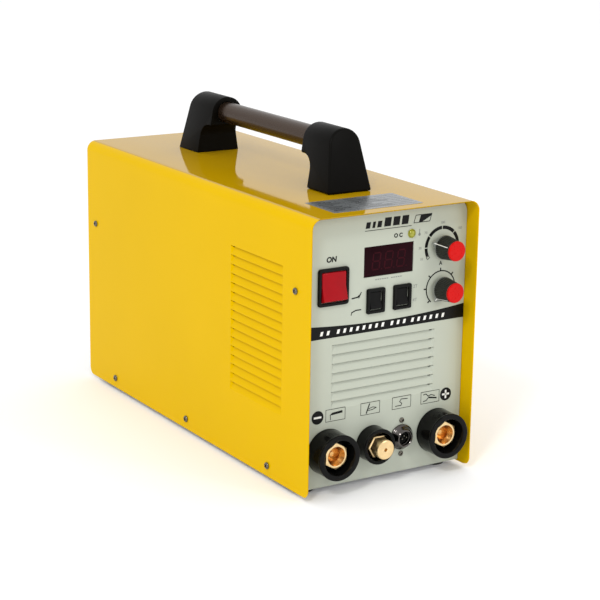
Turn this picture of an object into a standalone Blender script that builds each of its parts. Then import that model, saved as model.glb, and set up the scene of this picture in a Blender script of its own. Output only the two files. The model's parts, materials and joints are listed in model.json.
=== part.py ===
"""TIG welding machine: a sheet-metal inverter case with its controls, sockets, handle and inner units.

Metres, +Z up, front towards -Y. The origin lies on the floor under the middle of the case.
"""
import math

import bmesh
import bpy
from mathutils import Matrix, Vector

# Case
CASE_WIDTH = 0.205
CASE_DEPTH = 0.502
COVER_HEIGHT = 0.290
COVER_SHEET = 0.0012
COVER_BEND = 0.011
COVER_CORNER = 0.009
FLOOR_GAP = 0.0045
GAP = 0.0003

# Panels, recessed at both ends of the cover
RECESS = 0.019
PANEL_SHEET = 0.0015
PANEL_CORNER = 0.014
PAN_SHEET = 0.0015
PAN_FLANGE = 0.022
PAN_RISE = 0.0025

# Derived levels and planes
COVER_LOW = FLOOR_GAP
COVER_TOP = FLOOR_GAP + COVER_HEIGHT
HALF_WIDTH = CASE_WIDTH / 2
HALF_DEPTH = CASE_DEPTH / 2
FRONT_FACE = -HALF_DEPTH + RECESS
FRONT_BACK = FRONT_FACE + PANEL_SHEET
REAR_FACE = HALF_DEPTH - RECESS
REAR_INNER = REAR_FACE - PANEL_SHEET
PANEL_HALF = HALF_WIDTH - COVER_SHEET - GAP
PAN_LOW = COVER_LOW + PAN_RISE
PAN_TOP = PAN_LOW + PAN_SHEET

# Ventilation louvres
SIDE_LOUVRES = 16
SIDE_LOUVRE_LENGTH = 0.104
SIDE_LOUVRE_START = 0.053
SIDE_LOUVRE_TOP = COVER_LOW + 0.233
FRONT_LOUVRES = 7
FRONT_LOUVRE_LENGTH = 0.128
FRONT_LOUVRE_TOP = COVER_LOW + 0.153
LOUVRE_PITCH = 0.00993
LOUVRE_SLIT = 0.0016

# Front controls: x from the middle, z above the floor
DISPLAY = (0.0032, COVER_LOW + 0.2344)
DISPLAY_SIZE = (0.0612, 0.0318)
LED = (0.0306, COVER_LOW + 0.2588)
POWER_SWITCH = (-0.0646, COVER_LOW + 0.2144)
POWER_SWITCH_SIZE = (0.0363, 0.0390)
MODE_SWITCH = (-0.0126, COVER_LOW + 0.1934)
TRIGGER_SWITCH = (0.0203, COVER_LOW + 0.1936)
SMALL_SWITCH_SIZE = (0.0220, 0.0262)
SWITCH_LAND = 0.0030
SWITCH_WALL = 0.0036
SWITCH_LIP = 0.0028
SWITCH_DEPTH = 0.020
ROCKER_THROW = 18.0
ROCKER_DISH = 0.0018
ROCKER_PIVOT = 0.0015
CURRENT_KNOB = (0.0698, COVER_LOW + 0.2407)
SLOPE_KNOB = (0.0698, COVER_LOW + 0.1965)
KNOB_RADIUS = 0.0125
KNOB_FOOT = 0.0045
KNOB_REACH = 0.0240
CAP_RADIUS = 0.0106
CAP_REACH = 0.0270
SHAFT_RADIUS = 0.0030

# Front sockets, all at one height
SOCKET_Z = COVER_LOW + 0.0405
NEGATIVE_X = -0.0680
GAS_X = -0.0130
TORCH_X = 0.0250
POSITIVE_X = 0.0690
SOCKET_RADIUS = 0.0245
SOCKET_BORE = 0.0186
SOCKET_REACH = 0.0255
CONTACT_RADIUS = 0.0144
CONTACT_REACH = 0.0186
CONTACT_BORE = 0.0070
COLLAR_RADIUS = 0.0192
COLLAR_BORE = 0.0152
COLLAR_REACH = 0.0170
NOZZLE_RADIUS = 0.0130
NOZZLE_SHOULDER = 0.0155
NOZZLE_TIP_RADIUS = 0.0104
NOZZLE_REACH = 0.0275
NOZZLE_TAIL = 0.0283
TORCH_RING_RADIUS = 0.0137
TORCH_RING_BORE = 0.0075
TORCH_RING_REACH = 0.0085

# Handle: its middle from the case's middle, its half length over the posts, and the posts' sizes
HANDLE_MIDDLE = (0.0030, 0.0020)
HANDLE_HALF = 0.1615
POST_DEPTH = 0.0440
POST_LEAN = 0.0150
POST_SLEEVE = 0.0210
POST_THROAT = 0.0150
POST_HALF_WIDTH = 0.0272
POST_CROWN_HALF = 0.0193
POST_CROWN_RISE = 0.0177
TUBE_RADIUS = 0.0120
TUBE_HEIGHT = 0.0483
TUBE_SEAT = 0.0300

# Feet and cover screws
FOOT_INSET = (0.0190, 0.0400)
FOOT_RADIUS = 0.0115
SCREW_Y = (-0.1720, 0.0040, 0.1800)
SCREW_Z = COVER_LOW + 0.0122
SCREW_RADIUS = 0.0039
SCREW_SHANK = 0.0017

# Cooling fan and rear fittings
FAN = (0.0, 0.1750)
FAN_SIZE = 0.120
FAN_DEPTH = 0.038
FAN_BORE = 0.0570
ROTOR_HUB = 0.0200
ROTOR_TIP = 0.0550
ROTOR_BLADES = 7
GLAND = (0.0600, 0.0600)
GLAND_BORE = 0.0055
INLET = (-0.0600, 0.0500)
VALVE_Y = 0.1948
STUD = (0.0, 0.0450)

# Finishes: base colour, roughness, metallic
YELLOW_PAINT = ((0.86, 0.55, 0.01), 0.25, 0.0)
GREY_PAINT = ((0.63, 0.65, 0.61), 0.45, 0.0)
ZINC = ((0.62, 0.63, 0.65), 0.35, 0.9)
BLACK_PLASTIC = ((0.02, 0.02, 0.02), 0.45, 0.0)
GLOSS_BLACK = ((0.015, 0.015, 0.015), 0.20, 0.0)
RUBBER = ((0.03, 0.03, 0.03), 0.80, 0.0)
BRONZE_TUBE = ((0.16, 0.12, 0.09), 0.30, 0.8)
BRASS = ((0.78, 0.57, 0.25), 0.25, 1.0)
CHROME = ((0.75, 0.75, 0.76), 0.15, 1.0)
RED_PLASTIC = ((0.72, 0.02, 0.02), 0.30, 0.0)
DARK_METAL = ((0.10, 0.10, 0.11), 0.30, 0.8)
SMOKED_RED = ((0.08, 0.0, 0.005), 0.10, 0.0)
AMBER_LENS = ((0.75, 0.70, 0.10), 0.20, 0.0)
BOARD_GREEN = ((0.03, 0.16, 0.07), 0.50, 0.0)
ALUMINIUM = ((0.70, 0.71, 0.72), 0.35, 1.0)
FERRITE = ((0.08, 0.08, 0.09), 0.60, 0.0)
COPPER = ((0.60, 0.28, 0.12), 0.35, 0.9)
SLEEVE_BLUE = ((0.04, 0.08, 0.20), 0.40, 0.0)

FACE_FRONT = (math.pi / 2, 0.0, 0.0)
FACE_REAR = (-math.pi / 2, 0.0, 0.0)
FACE_LEFT = (0.0, -math.pi / 2, 0.0)
FACE_RIGHT = (0.0, math.pi / 2, 0.0)
ALONG_X = (math.pi / 2, 0.0, math.pi / 2)


# ---------------------------------------------------------------- helpers

def clear_scene():
    """Remove whatever the scene holds."""
    for obj in list(bpy.data.objects):
        bpy.data.objects.remove(obj, do_unlink=True)


def make_collection(name):
    """A collection linked under the scene."""
    group = bpy.data.collections.new(name)
    bpy.context.scene.collection.children.link(group)
    return group


def finish_material(name, finish):
    """A Principled material with a colour, roughness and metallic value."""
    colour, roughness, metallic = finish
    material = bpy.data.materials.new(name)
    material.use_nodes = True
    shader = material.node_tree.nodes["Principled BSDF"]
    shader.inputs["Base Color"].default_value = (*colour, 1.0)
    shader.inputs["Roughness"].default_value = roughness
    shader.inputs["Metallic"].default_value = metallic
    return material


def place(name, mesh, location, rotation, finish=None):
    """Put a mesh in the scene: a part with its material, or a cutter if it has no finish."""
    obj = bpy.data.objects.new(name, mesh)
    obj.location = location
    obj.rotation_euler = rotation
    if finish is None:
        CUTTERS.objects.link(obj)
        obj.hide_render = True
        obj.display_type = "WIRE"
        return obj
    PARTS.objects.link(obj)
    mesh.materials.append(finish_material(name + "_finish", finish))
    return obj


def boolean(obj, other, operation):
    """Cut an object with another, or join or intersect them."""
    modifier = obj.modifiers.new(operation.lower(), "BOOLEAN")
    modifier.operation = operation
    modifier.solver = "EXACT"
    modifier.object = other
    return obj


def block(name, low, high, finish=None):
    """A box between two corners."""
    mesh = bpy.data.meshes.new(name)
    shape = bmesh.new()
    bmesh.ops.create_cube(shape, size=1.0)
    size = Vector(high) - Vector(low)
    bmesh.ops.scale(shape, vec=size, verts=shape.verts)
    shape.to_mesh(mesh)
    shape.free()
    return place(name, mesh, (Vector(low) + Vector(high)) / 2, (0, 0, 0), finish)


def rod(name, location, rotation, radius, low, high, finish=None, sides=24):
    """A straight rod or hexagon along local Z, from low to high."""
    mesh = bpy.data.meshes.new(name)
    shape = bmesh.new()
    bmesh.ops.create_cone(shape, cap_ends=True, segments=sides, radius1=radius, radius2=radius,
                          depth=high - low)
    bmesh.ops.translate(shape, vec=(0, 0, (low + high) / 2), verts=shape.verts)
    shape.to_mesh(mesh)
    shape.free()
    return place(name, mesh, location, rotation, finish)


def turned(name, profile, location, rotation, finish=None, steps=24):
    """A turned solid: a closed (radius, height) profile, listed down its outer side."""
    mesh = bpy.data.meshes.new(name)
    points = [(radius, 0.0, height) for radius, height in profile]
    edges = [(i, i + 1) for i in range(len(points) - 1)]
    on_axis = profile[0][0] == 0 and profile[-1][0] == 0
    if not on_axis:
        edges.append((len(points) - 1, 0))
    mesh.from_pydata(points, edges, [])
    obj = place(name, mesh, location, rotation, finish)
    screw = obj.modifiers.new("turn", "SCREW")
    screw.steps = steps
    screw.render_steps = steps
    screw.use_merge_vertices = True
    screw.merge_threshold = 0.00001
    screw.use_smooth_shade = False
    return obj


def slab(name, outline, thickness, location, rotation, finish=None):
    """A flat outline in local XY, thickened evenly about its plane."""
    curve = bpy.data.curves.new(name, "CURVE")
    curve.dimensions = "2D"
    curve.fill_mode = "BOTH"
    curve.extrude = thickness / 2
    spline = curve.splines.new("POLY")
    spline.points.add(len(outline) - 1)
    for point, (x, y) in zip(spline.points, outline):
        point.co = (x, y, 0.0, 1.0)
    spline.use_cyclic_u = True
    guide = bpy.data.objects.new(name + "_outline", curve)
    bpy.context.scene.collection.objects.link(guide)
    bpy.context.view_layer.update()
    evaluated = guide.evaluated_get(bpy.context.evaluated_depsgraph_get())
    mesh = bpy.data.meshes.new_from_object(evaluated)
    bpy.data.objects.remove(guide, do_unlink=True)
    weld = bmesh.new()
    weld.from_mesh(mesh)
    bmesh.ops.remove_doubles(weld, verts=weld.verts, dist=0.00001)
    bmesh.ops.recalc_face_normals(weld, faces=weld.faces)
    weld.to_mesh(mesh)
    weld.free()
    mesh.materials.clear()
    return place(name, mesh, location, rotation, finish)


def arc(centre, radius, start, end, steps):
    """Points along an arc, in degrees."""
    points = []
    for i in range(steps + 1):
        angle = math.radians(start + (end - start) * i / steps)
        points.append((centre[0] + radius * math.cos(angle), centre[1] + radius * math.sin(angle)))
    return points


def repeat(obj, count, offset):
    """Repeat an object in a straight row."""
    array = obj.modifiers.new("row", "ARRAY")
    array.count = count
    array.use_relative_offset = False
    array.use_constant_offset = True
    array.constant_offset_displace = offset
    return obj


def front(x, z, y=FRONT_FACE):
    """A point on the front panel."""
    return (x, y, z)


def drill(obj, name, x, z, radius, low, high, sides=24):
    """Drill a hole along Y through a panel or a fitting."""
    hole = rod(name, (x, (low + high) / 2, z), FACE_FRONT, radius, (low - high) / 2, (high - low) / 2,
               sides=sides)
    return boolean(obj, hole, "DIFFERENCE")


# ---------------------------------------------------------------- case

def cover_profile():
    """The cover's bent outline across the case, from one lower edge to the other."""
    top = COVER_TOP
    bend = COVER_BEND
    left = arc((-HALF_WIDTH + bend, top - bend), bend, 180, 90, 6)
    right = arc((HALF_WIDTH - bend, top - bend), bend, 90, 0, 6)
    return [(-HALF_WIDTH, COVER_LOW)] + left + right + [(HALF_WIDTH, COVER_LOW)]


def corner_cutter(name, direction):
    """What rounds the cover's lower corners at one end."""
    r = COVER_CORNER
    over = 0.004
    start, end = (180, 270) if direction < 0 else (0, -90)
    curve = arc((direction * (HALF_DEPTH - r), COVER_LOW + r), r, start, end, 6)
    outside = [(curve[-1][0], COVER_LOW - over), (direction * (HALF_DEPTH + over), COVER_LOW - over),
               (direction * (HALF_DEPTH + over), curve[0][1])]
    return slab(name, curve + outside, CASE_WIDTH + 0.02, (0, 0, 0), ALONG_X)


def make_cover():
    """The bent steel cover: two sides and the top in one sheet."""
    mesh = bpy.data.meshes.new("case_cover")
    sheet = bmesh.new()
    profile = cover_profile()
    front_row = [sheet.verts.new((x, -HALF_DEPTH, z)) for x, z in profile]
    rear_row = [sheet.verts.new((x, HALF_DEPTH, z)) for x, z in profile]
    for i in range(len(profile) - 1):
        sheet.faces.new((front_row[i], front_row[i + 1], rear_row[i + 1], rear_row[i]))
    sheet.to_mesh(mesh)
    sheet.free()
    cover = place("case_cover", mesh, (0, 0, 0), (0, 0, 0), YELLOW_PAINT)
    solid = cover.modifiers.new("sheet", "SOLIDIFY")
    solid.thickness = COVER_SHEET
    solid.offset = -1.0
    solid.use_even_offset = True
    for name, direction in (("cover_corner_front", -1), ("cover_corner_rear", 1)):
        boolean(cover, corner_cutter(name, direction), "DIFFERENCE")
    start = -HALF_DEPTH + SIDE_LOUVRE_START
    over = HALF_WIDTH + 0.01
    slit = block("side_louvre_slits", (-over, start, SIDE_LOUVRE_TOP - LOUVRE_SLIT),
                 (over, start + SIDE_LOUVRE_LENGTH, SIDE_LOUVRE_TOP))
    repeat(slit, SIDE_LOUVRES, (0, 0, -LOUVRE_PITCH))
    boolean(cover, slit, "DIFFERENCE")
    cut_screw_holes(cover, "cover")


def cut_screw_holes(obj, prefix):
    """The screw holes along both lower edges."""
    hole = rod(prefix + "_screw_holes", (0, SCREW_Y[0], SCREW_Z), ALONG_X, SCREW_SHANK + GAP,
               -HALF_WIDTH - 0.01, HALF_WIDTH + 0.01, sides=12)
    repeat(hole, len(SCREW_Y), (SCREW_Y[1] - SCREW_Y[0], 0, 0))
    boolean(obj, hole, "DIFFERENCE")


def make_base_pan():
    """The folded floor tray that carries the inner units."""
    outer = PANEL_HALF
    length = REAR_INNER - GAP
    pan = block("base_pan", (-outer, -length, PAN_LOW), (outer, length, PAN_LOW + PAN_FLANGE), ZINC)
    hollow = block("base_pan_hollow", (-outer + PAN_SHEET, -length + PAN_SHEET, PAN_TOP),
                   (outer - PAN_SHEET, length - PAN_SHEET, PAN_LOW + PAN_FLANGE + 0.01))
    boolean(pan, hollow, "DIFFERENCE")
    for name, y in (("base_pan_front_relief", -length), ("base_pan_rear_relief", length)):
        relief = block(name, (-outer + 0.01, y - 0.005, PAN_TOP + 0.009),
                       (outer - 0.01, y + 0.005, PAN_LOW + PAN_FLANGE + 0.01))
        boolean(pan, relief, "DIFFERENCE")
    cut_screw_holes(pan, "base_pan")


def panel_outline():
    """An end panel: square at the bottom, rounded at its top corners."""
    top = COVER_TOP - COVER_SHEET - GAP
    low = COVER_LOW + 0.0021
    r = PANEL_CORNER
    right = arc((PANEL_HALF - r, top - r), r, 0, 90, 6)
    left = arc((-PANEL_HALF + r, top - r), r, 90, 180, 6)
    return [(-PANEL_HALF, low), (PANEL_HALF, low)] + right + left


def panel_window(panel, name, centre, size, y):
    """A rectangular cut-out in a panel."""
    x, z = centre
    width, height = size
    hole = block(name, (x - width / 2, y - 0.01, z - height / 2), (x + width / 2, y + 0.01, z + height / 2))
    boolean(panel, hole, "DIFFERENCE")


def make_front_panel():
    """The recessed front panel with its cut-outs and louvres."""
    middle = (FRONT_FACE + FRONT_BACK) / 2
    panel = slab("front_panel", panel_outline(), PANEL_SHEET, (0, middle, 0), FACE_FRONT, GREY_PAINT)
    panel_window(panel, "hole_display", DISPLAY, DISPLAY_SIZE, middle)
    switches = (("power", POWER_SWITCH, POWER_SWITCH_SIZE), ("mode", MODE_SWITCH, SMALL_SWITCH_SIZE),
                ("trigger", TRIGGER_SWITCH, SMALL_SWITCH_SIZE))
    for name, centre, size in switches:
        cut_out = (size[0] - SWITCH_LAND, size[1] - SWITCH_LAND)
        panel_window(panel, "hole_" + name, centre, cut_out, middle)
    half = FRONT_LOUVRE_LENGTH / 2
    slit = block("front_louvre_slits", (-half, middle - 0.01, FRONT_LOUVRE_TOP - LOUVRE_SLIT),
                 (half, middle + 0.01, FRONT_LOUVRE_TOP))
    repeat(slit, FRONT_LOUVRES, (0, 0, -LOUVRE_PITCH))
    boolean(panel, slit, "DIFFERENCE")
    holes = (("hole_current", CURRENT_KNOB, 0.0041), ("hole_slope", SLOPE_KNOB, 0.0041),
             ("hole_led", LED, 0.0028), ("hole_negative", (NEGATIVE_X, SOCKET_Z), 0.0160),
             ("hole_positive", (POSITIVE_X, SOCKET_Z), 0.0160), ("hole_gas", (GAS_X, SOCKET_Z), 0.0130),
             ("hole_torch", (TORCH_X, SOCKET_Z), 0.0110))
    for name, (x, z), radius in holes:
        drill(panel, name, x, z, radius, middle - 0.01, middle + 0.01)


def make_rear_panel():
    """The recessed rear panel with its fan opening and fitting holes."""
    middle = (REAR_FACE + REAR_INNER) / 2
    panel = slab("rear_panel", panel_outline(), PANEL_SHEET, (0, middle, 0), FACE_FRONT, GREY_PAINT)
    holes = (("hole_fan", FAN, FAN_BORE, 48), ("hole_gland", GLAND, 0.0100, 24),
             ("hole_inlet", INLET, 0.0070, 24), ("hole_stud", STUD, 0.0033, 16))
    for name, (x, z), radius, sides in holes:
        drill(panel, name, x, z, radius, middle - 0.01, middle + 0.01, sides)


def make_feet():
    """Four moulded feet under the base pan."""
    height = PAN_LOW - GAP
    profile = ((0, height), (FOOT_RADIUS, height), (FOOT_RADIUS, 0.0015), (FOOT_RADIUS - 0.0012, 0), (0, 0))
    for end, y in (("front", -HALF_DEPTH + FOOT_INSET[1]), ("rear", HALF_DEPTH - FOOT_INSET[1])):
        for side, x in (("left", -HALF_WIDTH + FOOT_INSET[0]), ("right", HALF_WIDTH - FOOT_INSET[0])):
            turned("foot_{}_{}".format(end, side), profile, (x, y, 0), (0, 0, 0), RUBBER)


def make_cover_screws():
    """Pan-head screws along the cover's lower edges."""
    head = 0.0022
    shank = -0.0070
    r = SCREW_RADIUS
    profile = ((0, GAP + head), (r * 0.55, GAP + head * 0.92), (r * 0.9, GAP + head * 0.55), (r, GAP),
               (SCREW_SHANK, GAP), (SCREW_SHANK, shank), (0, shank))
    for side, x, rotation in (("left", -HALF_WIDTH, FACE_LEFT), ("right", HALF_WIDTH, FACE_RIGHT)):
        for number, y in enumerate(SCREW_Y, start=1):
            name = "cover_screw_{}_{}".format(side, number)
            turned(name, profile, (x, y, SCREW_Z), rotation, CHROME, 12)


# ---------------------------------------------------------------- handle

def post_outline_front():
    """A post seen from the front: tapered sides and an arched top about the tube."""
    taper = math.atan2(POST_HALF_WIDTH - POST_CROWN_HALF, TUBE_HEIGHT)
    crown = []
    for i in range(15):
        angle = taper + (math.pi - 2 * taper) * i / 14
        crown.append((POST_CROWN_HALF * math.cos(angle), TUBE_HEIGHT + POST_CROWN_RISE * math.sin(angle)))
    return [(-POST_HALF_WIDTH, 0), (POST_HALF_WIDTH, 0)] + crown


def post_outline_side():
    """A post seen from the side, its outer face at zero: a leaning face, a sleeve and a curved throat."""
    top = TUBE_HEIGHT + POST_CROWN_RISE + 0.001
    sleeve_end = POST_DEPTH + POST_SLEEVE
    throat_top = TUBE_HEIGHT - TUBE_RADIUS - 0.002
    throat = arc((POST_DEPTH + POST_THROAT, throat_top - POST_THROAT), POST_THROAT, 180, 90, 6)
    sleeve = [(sleeve_end, throat_top), (sleeve_end, top)]
    return [(0, 0), (POST_DEPTH, 0)] + throat + sleeve + [(POST_LEAN, top)]


def make_post(name, direction):
    """One handle post, standing on the cover's top."""
    base = COVER_TOP + GAP
    x, y = HANDLE_MIDDLE
    outer = y + direction * HANDLE_HALF
    side_view = [(outer - direction * along, up) for along, up in post_outline_side()]
    post = slab(name, side_view, 0.08, (x, 0, base), ALONG_X, BLACK_PLASTIC)
    middle = outer - direction * 0.04
    shape = slab(name + "_front_view", post_outline_front(), 0.12, (x, middle, base), FACE_FRONT)
    boolean(post, shape, "INTERSECT")
    tube_end = y + direction * tube_half_length()
    reach = sorted((tube_end + direction * GAP, y + direction * (HANDLE_HALF - POST_DEPTH - 0.04)))
    drill(post, name + "_seat", x, base + TUBE_HEIGHT, TUBE_RADIUS + GAP, reach[0], reach[1])


def tube_half_length():
    """Half the tube's length, from the handle's middle to its seat in a post."""
    return HANDLE_HALF - POST_DEPTH - POST_SLEEVE + TUBE_SEAT


def make_handle():
    """Two moulded posts and the metal tube between them."""
    make_post("handle_post_front", -1)
    make_post("handle_post_rear", 1)
    x, y = HANDLE_MIDDLE
    half = tube_half_length()
    rod("handle_tube", (x, y, COVER_TOP + GAP + TUBE_HEIGHT), FACE_FRONT, TUBE_RADIUS, -half, half,
        BRONZE_TUBE)


# ---------------------------------------------------------------- front controls

def rocker_outline(reach, crown):
    """A rocker from the side: round ends about its pivot and a dished front, top edge pushed in."""
    edge = math.degrees(math.acos(-crown / reach))
    top = arc((0, 0), reach, edge, 70, 6)
    bottom = [(y, -z) for y, z in reversed(top)]
    tilt = math.radians(-ROCKER_THROW / 2)
    tilted = []
    for y, z in [(-crown + ROCKER_DISH, 0.0)] + top + bottom:
        tilted.append((y * math.cos(tilt) - z * math.sin(tilt), y * math.sin(tilt) + z * math.cos(tilt)))
    return tilted


def make_rocker_switch(name, centre, size, colour):
    """A rocker switch: a bezel with its case behind the panel, and a rocker on a pivot along X."""
    x, z = centre
    half_w = size[0] / 2
    half_h = size[1] / 2
    body_w = half_w - SWITCH_LAND / 2 - GAP
    body_h = half_h - SWITCH_LAND / 2 - GAP
    well_w = half_w - SWITCH_WALL
    well_h = half_h - SWITCH_WALL
    frame = block(name + "_switch_frame", (x - half_w, FRONT_FACE - GAP - SWITCH_LIP, z - half_h),
                  (x + half_w, FRONT_FACE - GAP, z + half_h), BLACK_PLASTIC)
    case = block(name + "_switch_case", (x - body_w, FRONT_FACE - SWITCH_LIP / 2, z - body_h),
                 (x + body_w, FRONT_FACE + SWITCH_DEPTH, z + body_h))
    boolean(frame, case, "UNION")
    well = block(name + "_switch_well", (x - well_w, FRONT_FACE - SWITCH_DEPTH, z - well_h),
                 (x + well_w, FRONT_FACE + SWITCH_DEPTH - 0.004, z + well_h))
    boolean(frame, well, "DIFFERENCE")
    reach = well_h - GAP
    pivot = front(x, z, FRONT_FACE + ROCKER_PIVOT)
    slab(name + "_rocker", rocker_outline(reach, reach * 0.41), 2 * (well_w - GAP), pivot, ALONG_X, colour)


def make_display():
    """The smoked window and the digit module behind it."""
    x, z = DISPLAY
    w = DISPLAY_SIZE[0] / 2 - GAP
    h = DISPLAY_SIZE[1] / 2 - GAP
    block("display_window", (x - w, FRONT_FACE + 0.0004, z - h), (x + w, FRONT_FACE + 0.0030, z + h),
          SMOKED_RED)
    back = FRONT_FACE + 0.0030 + GAP
    edge = 0.004
    module = block("display_module", (x - w, back + 0.006, z - h - edge),
                   (x + w, back + 0.0076, z + h + edge), BOARD_GREEN)
    digits = block("display_digits", (x - w + edge, back, z - h + edge),
                   (x + w - edge, back + 0.007, z + h - edge))
    boolean(module, digits, "UNION")


def make_led():
    """The status lamp: a domed lens with a collar behind the panel."""
    x, z = LED
    r = 0.0024
    collar = 0.0034
    back = -PANEL_SHEET - GAP
    dome = arc((0, 0.0012), r, 75, 0, 5)
    profile = [(0, 0.0012 + r)] + dome + [(r, back), (collar, back), (collar, -0.006), (0, -0.006)]
    turned("status_led", profile, front(x, z), FACE_FRONT, AMBER_LENS, 16)


def make_dial(name, centre):
    """A potentiometer through the panel with its nut, its shaft, and the knob with its coloured cap."""
    x, z = centre
    back = -PANEL_SHEET - GAP
    bore = SHAFT_RADIUS + GAP
    bushing = bore + 0.0005
    pot = ((bore, 0.0040), (bushing, 0.0040), (0.0060, 0.0035), (0.0060, GAP), (bushing, GAP),
           (bushing, back), (0.0080, back), (0.0080, back - 0.009), (bore, back - 0.009))
    turned(name + "_pot", pot, front(x, z), FACE_FRONT, ZINC, 20)
    tip = KNOB_REACH - 0.0040
    rod(name + "_shaft", front(x, z), FACE_FRONT, SHAFT_RADIUS, back - 0.0088, tip, ZINC, 16)
    skirt = KNOB_FOOT + 0.0025
    knob = ((bore, KNOB_REACH), (CAP_RADIUS, KNOB_REACH), (KNOB_RADIUS - 0.0006, skirt + 0.0005),
            (KNOB_RADIUS, skirt), (KNOB_RADIUS, KNOB_FOOT), (bore, KNOB_FOOT))
    turned(name + "_knob", knob, front(x, z), FACE_FRONT, BLACK_PLASTIC)
    low = KNOB_REACH + GAP
    rise = CAP_REACH - low
    dome = [(CAP_RADIUS * math.cos(math.radians(a)), low + rise * (0.45 + 0.55 * math.sin(math.radians(a))))
            for a in range(72, -1, -18)]
    cap = [(0, CAP_REACH)] + dome + [(CAP_RADIUS, low), (0, low)]
    turned(name + "_knob_cap", cap, front(x, z), FACE_FRONT, RED_PLASTIC)


# ---------------------------------------------------------------- front sockets

def make_power_socket(name, x):
    """A panel-mount weld socket: an insulating shell about a brass contact."""
    back = -PANEL_SHEET - GAP
    neck = 0.0157
    hole = 0.0093
    shell = ((SOCKET_BORE, SOCKET_REACH), (SOCKET_RADIUS - 0.0010, SOCKET_REACH),
             (SOCKET_RADIUS, SOCKET_REACH - 0.0010), (SOCKET_RADIUS - 0.0013, GAP), (neck, GAP),
             (neck, back - 0.006), (hole, back - 0.006), (hole, 0.0030), (SOCKET_BORE, 0.0030))
    turned(name + "_socket_shell", shell, front(x, SOCKET_Z), FACE_FRONT, GLOSS_BLACK, 32)
    contact = rod(name + "_socket_contact", front(x, SOCKET_Z), FACE_FRONT, CONTACT_RADIUS, 0.0030 + GAP,
                  CONTACT_REACH, BRASS, 6)
    stem = rod(name + "_contact_stem", front(x, SOCKET_Z), FACE_FRONT, hole - GAP, back - 0.026, 0.008)
    boolean(contact, stem, "UNION")
    bore = rod(name + "_contact_bore", front(x, SOCKET_Z), FACE_FRONT, CONTACT_BORE, back - 0.004, 0.03)
    boolean(contact, bore, "DIFFERENCE")


def make_gas_outlet():
    """The gas outlet: a collar and a brass nozzle, a hexagon with a round tip."""
    back = -PANEL_SHEET - GAP
    neck = 0.0127
    hole = 0.0083
    collar = ((COLLAR_BORE, COLLAR_REACH), (COLLAR_RADIUS - 0.0008, COLLAR_REACH),
              (COLLAR_RADIUS, COLLAR_REACH - 0.0008), (COLLAR_RADIUS, GAP), (neck, GAP),
              (neck, back - 0.005), (hole, back - 0.005), (hole, 0.0030), (COLLAR_BORE, 0.0030))
    place_at = front(GAS_X, SOCKET_Z)
    turned("gas_outlet_collar", collar, place_at, FACE_FRONT, GLOSS_BLACK, 32)
    hexagon = ((0, NOZZLE_SHOULDER), (NOZZLE_RADIUS, NOZZLE_SHOULDER), (NOZZLE_RADIUS, 0.0030 + GAP),
               (0, 0.0030 + GAP))
    nozzle = turned("gas_outlet_nozzle", hexagon, place_at, FACE_FRONT, BRASS, 6)
    tip = ((0, NOZZLE_REACH), (NOZZLE_TIP_RADIUS - 0.0010, NOZZLE_REACH),
           (NOZZLE_TIP_RADIUS, NOZZLE_REACH - 0.0010), (NOZZLE_TIP_RADIUS, NOZZLE_SHOULDER - 0.004),
           (0, NOZZLE_SHOULDER - 0.004))
    boolean(nozzle, turned("nozzle_tip", tip, place_at, FACE_FRONT), "UNION")
    tail = -PANEL_SHEET - NOZZLE_TAIL
    stem = ((0, 0.008), (hole - GAP, 0.008), (hole - GAP, back - 0.012), (0.0040, back - 0.012),
            (0.0040, tail), (0, tail))
    boolean(nozzle, turned("nozzle_stem", stem, place_at, FACE_FRONT), "UNION")
    bore = rod("nozzle_bore", place_at, FACE_FRONT, 0.0018, tail - 0.01, 0.04, sides=12)
    boolean(nozzle, bore, "DIFFERENCE")


def make_torch_socket():
    """The torch-switch socket: a metal ring about an insulating core."""
    back = -PANEL_SHEET - GAP
    ring = ((TORCH_RING_BORE, TORCH_RING_REACH), (TORCH_RING_BORE + 0.0020, TORCH_RING_REACH),
            (TORCH_RING_RADIUS - 0.0012, 0.0030), (TORCH_RING_RADIUS, 0.0020), (TORCH_RING_RADIUS, GAP),
            (0.0107, GAP),
            (0.0107, back - 0.006), (TORCH_RING_BORE, back - 0.006))
    turned("torch_socket_ring", ring, front(TORCH_X, SOCKET_Z), FACE_FRONT, DARK_METAL, 32)
    rod("torch_socket_core", front(TORCH_X, SOCKET_Z), FACE_FRONT, TORCH_RING_BORE - GAP, back - 0.009,
        -0.0005, BLACK_PLASTIC)


# ---------------------------------------------------------------- inner units

def joined_blocks(name, boxes, finish):
    """Several overlapping boxes joined into one body; the first gives it its name."""
    body = block(name, boxes[0][0], boxes[0][1], finish)
    for number, (low, high) in enumerate(boxes[1:], start=1):
        boolean(body, block("{}_block_{}".format(name, number), low, high), "UNION")
    return body


def make_boards():
    """The control board behind the panel and the power board over the base pan."""
    y = FRONT_FACE + 0.0240
    top = COVER_TOP - 0.020
    plate = ((-0.090, y, 0.180), (0.090, y + 0.0016, top))
    processor = ((-0.020, y + 0.001, 0.200), (0.015, y + 0.008, 0.230))
    relay = ((0.040, y + 0.001, 0.240), (0.070, y + 0.014, 0.262))
    joined_blocks("control_board", (plate, processor, relay), BOARD_GREEN)
    floor = 0.0400
    board = block("power_board", (-0.092, -0.160, floor), (0.092, 0.140, floor + 0.0020), BOARD_GREEN)
    legs = block("board_standoffs", (-0.086, -0.150, PAN_TOP + GAP), (-0.078, -0.142, floor + 0.001))
    repeat(legs, 2, (0.164, 0, 0))
    boolean(board, legs, "UNION")
    rear_legs = block("board_rear_standoffs", (-0.086, 0.122, PAN_TOP + GAP), (-0.078, 0.130, floor + 0.001))
    repeat(rear_legs, 2, (0.164, 0, 0))
    boolean(board, rear_legs, "UNION")


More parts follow.
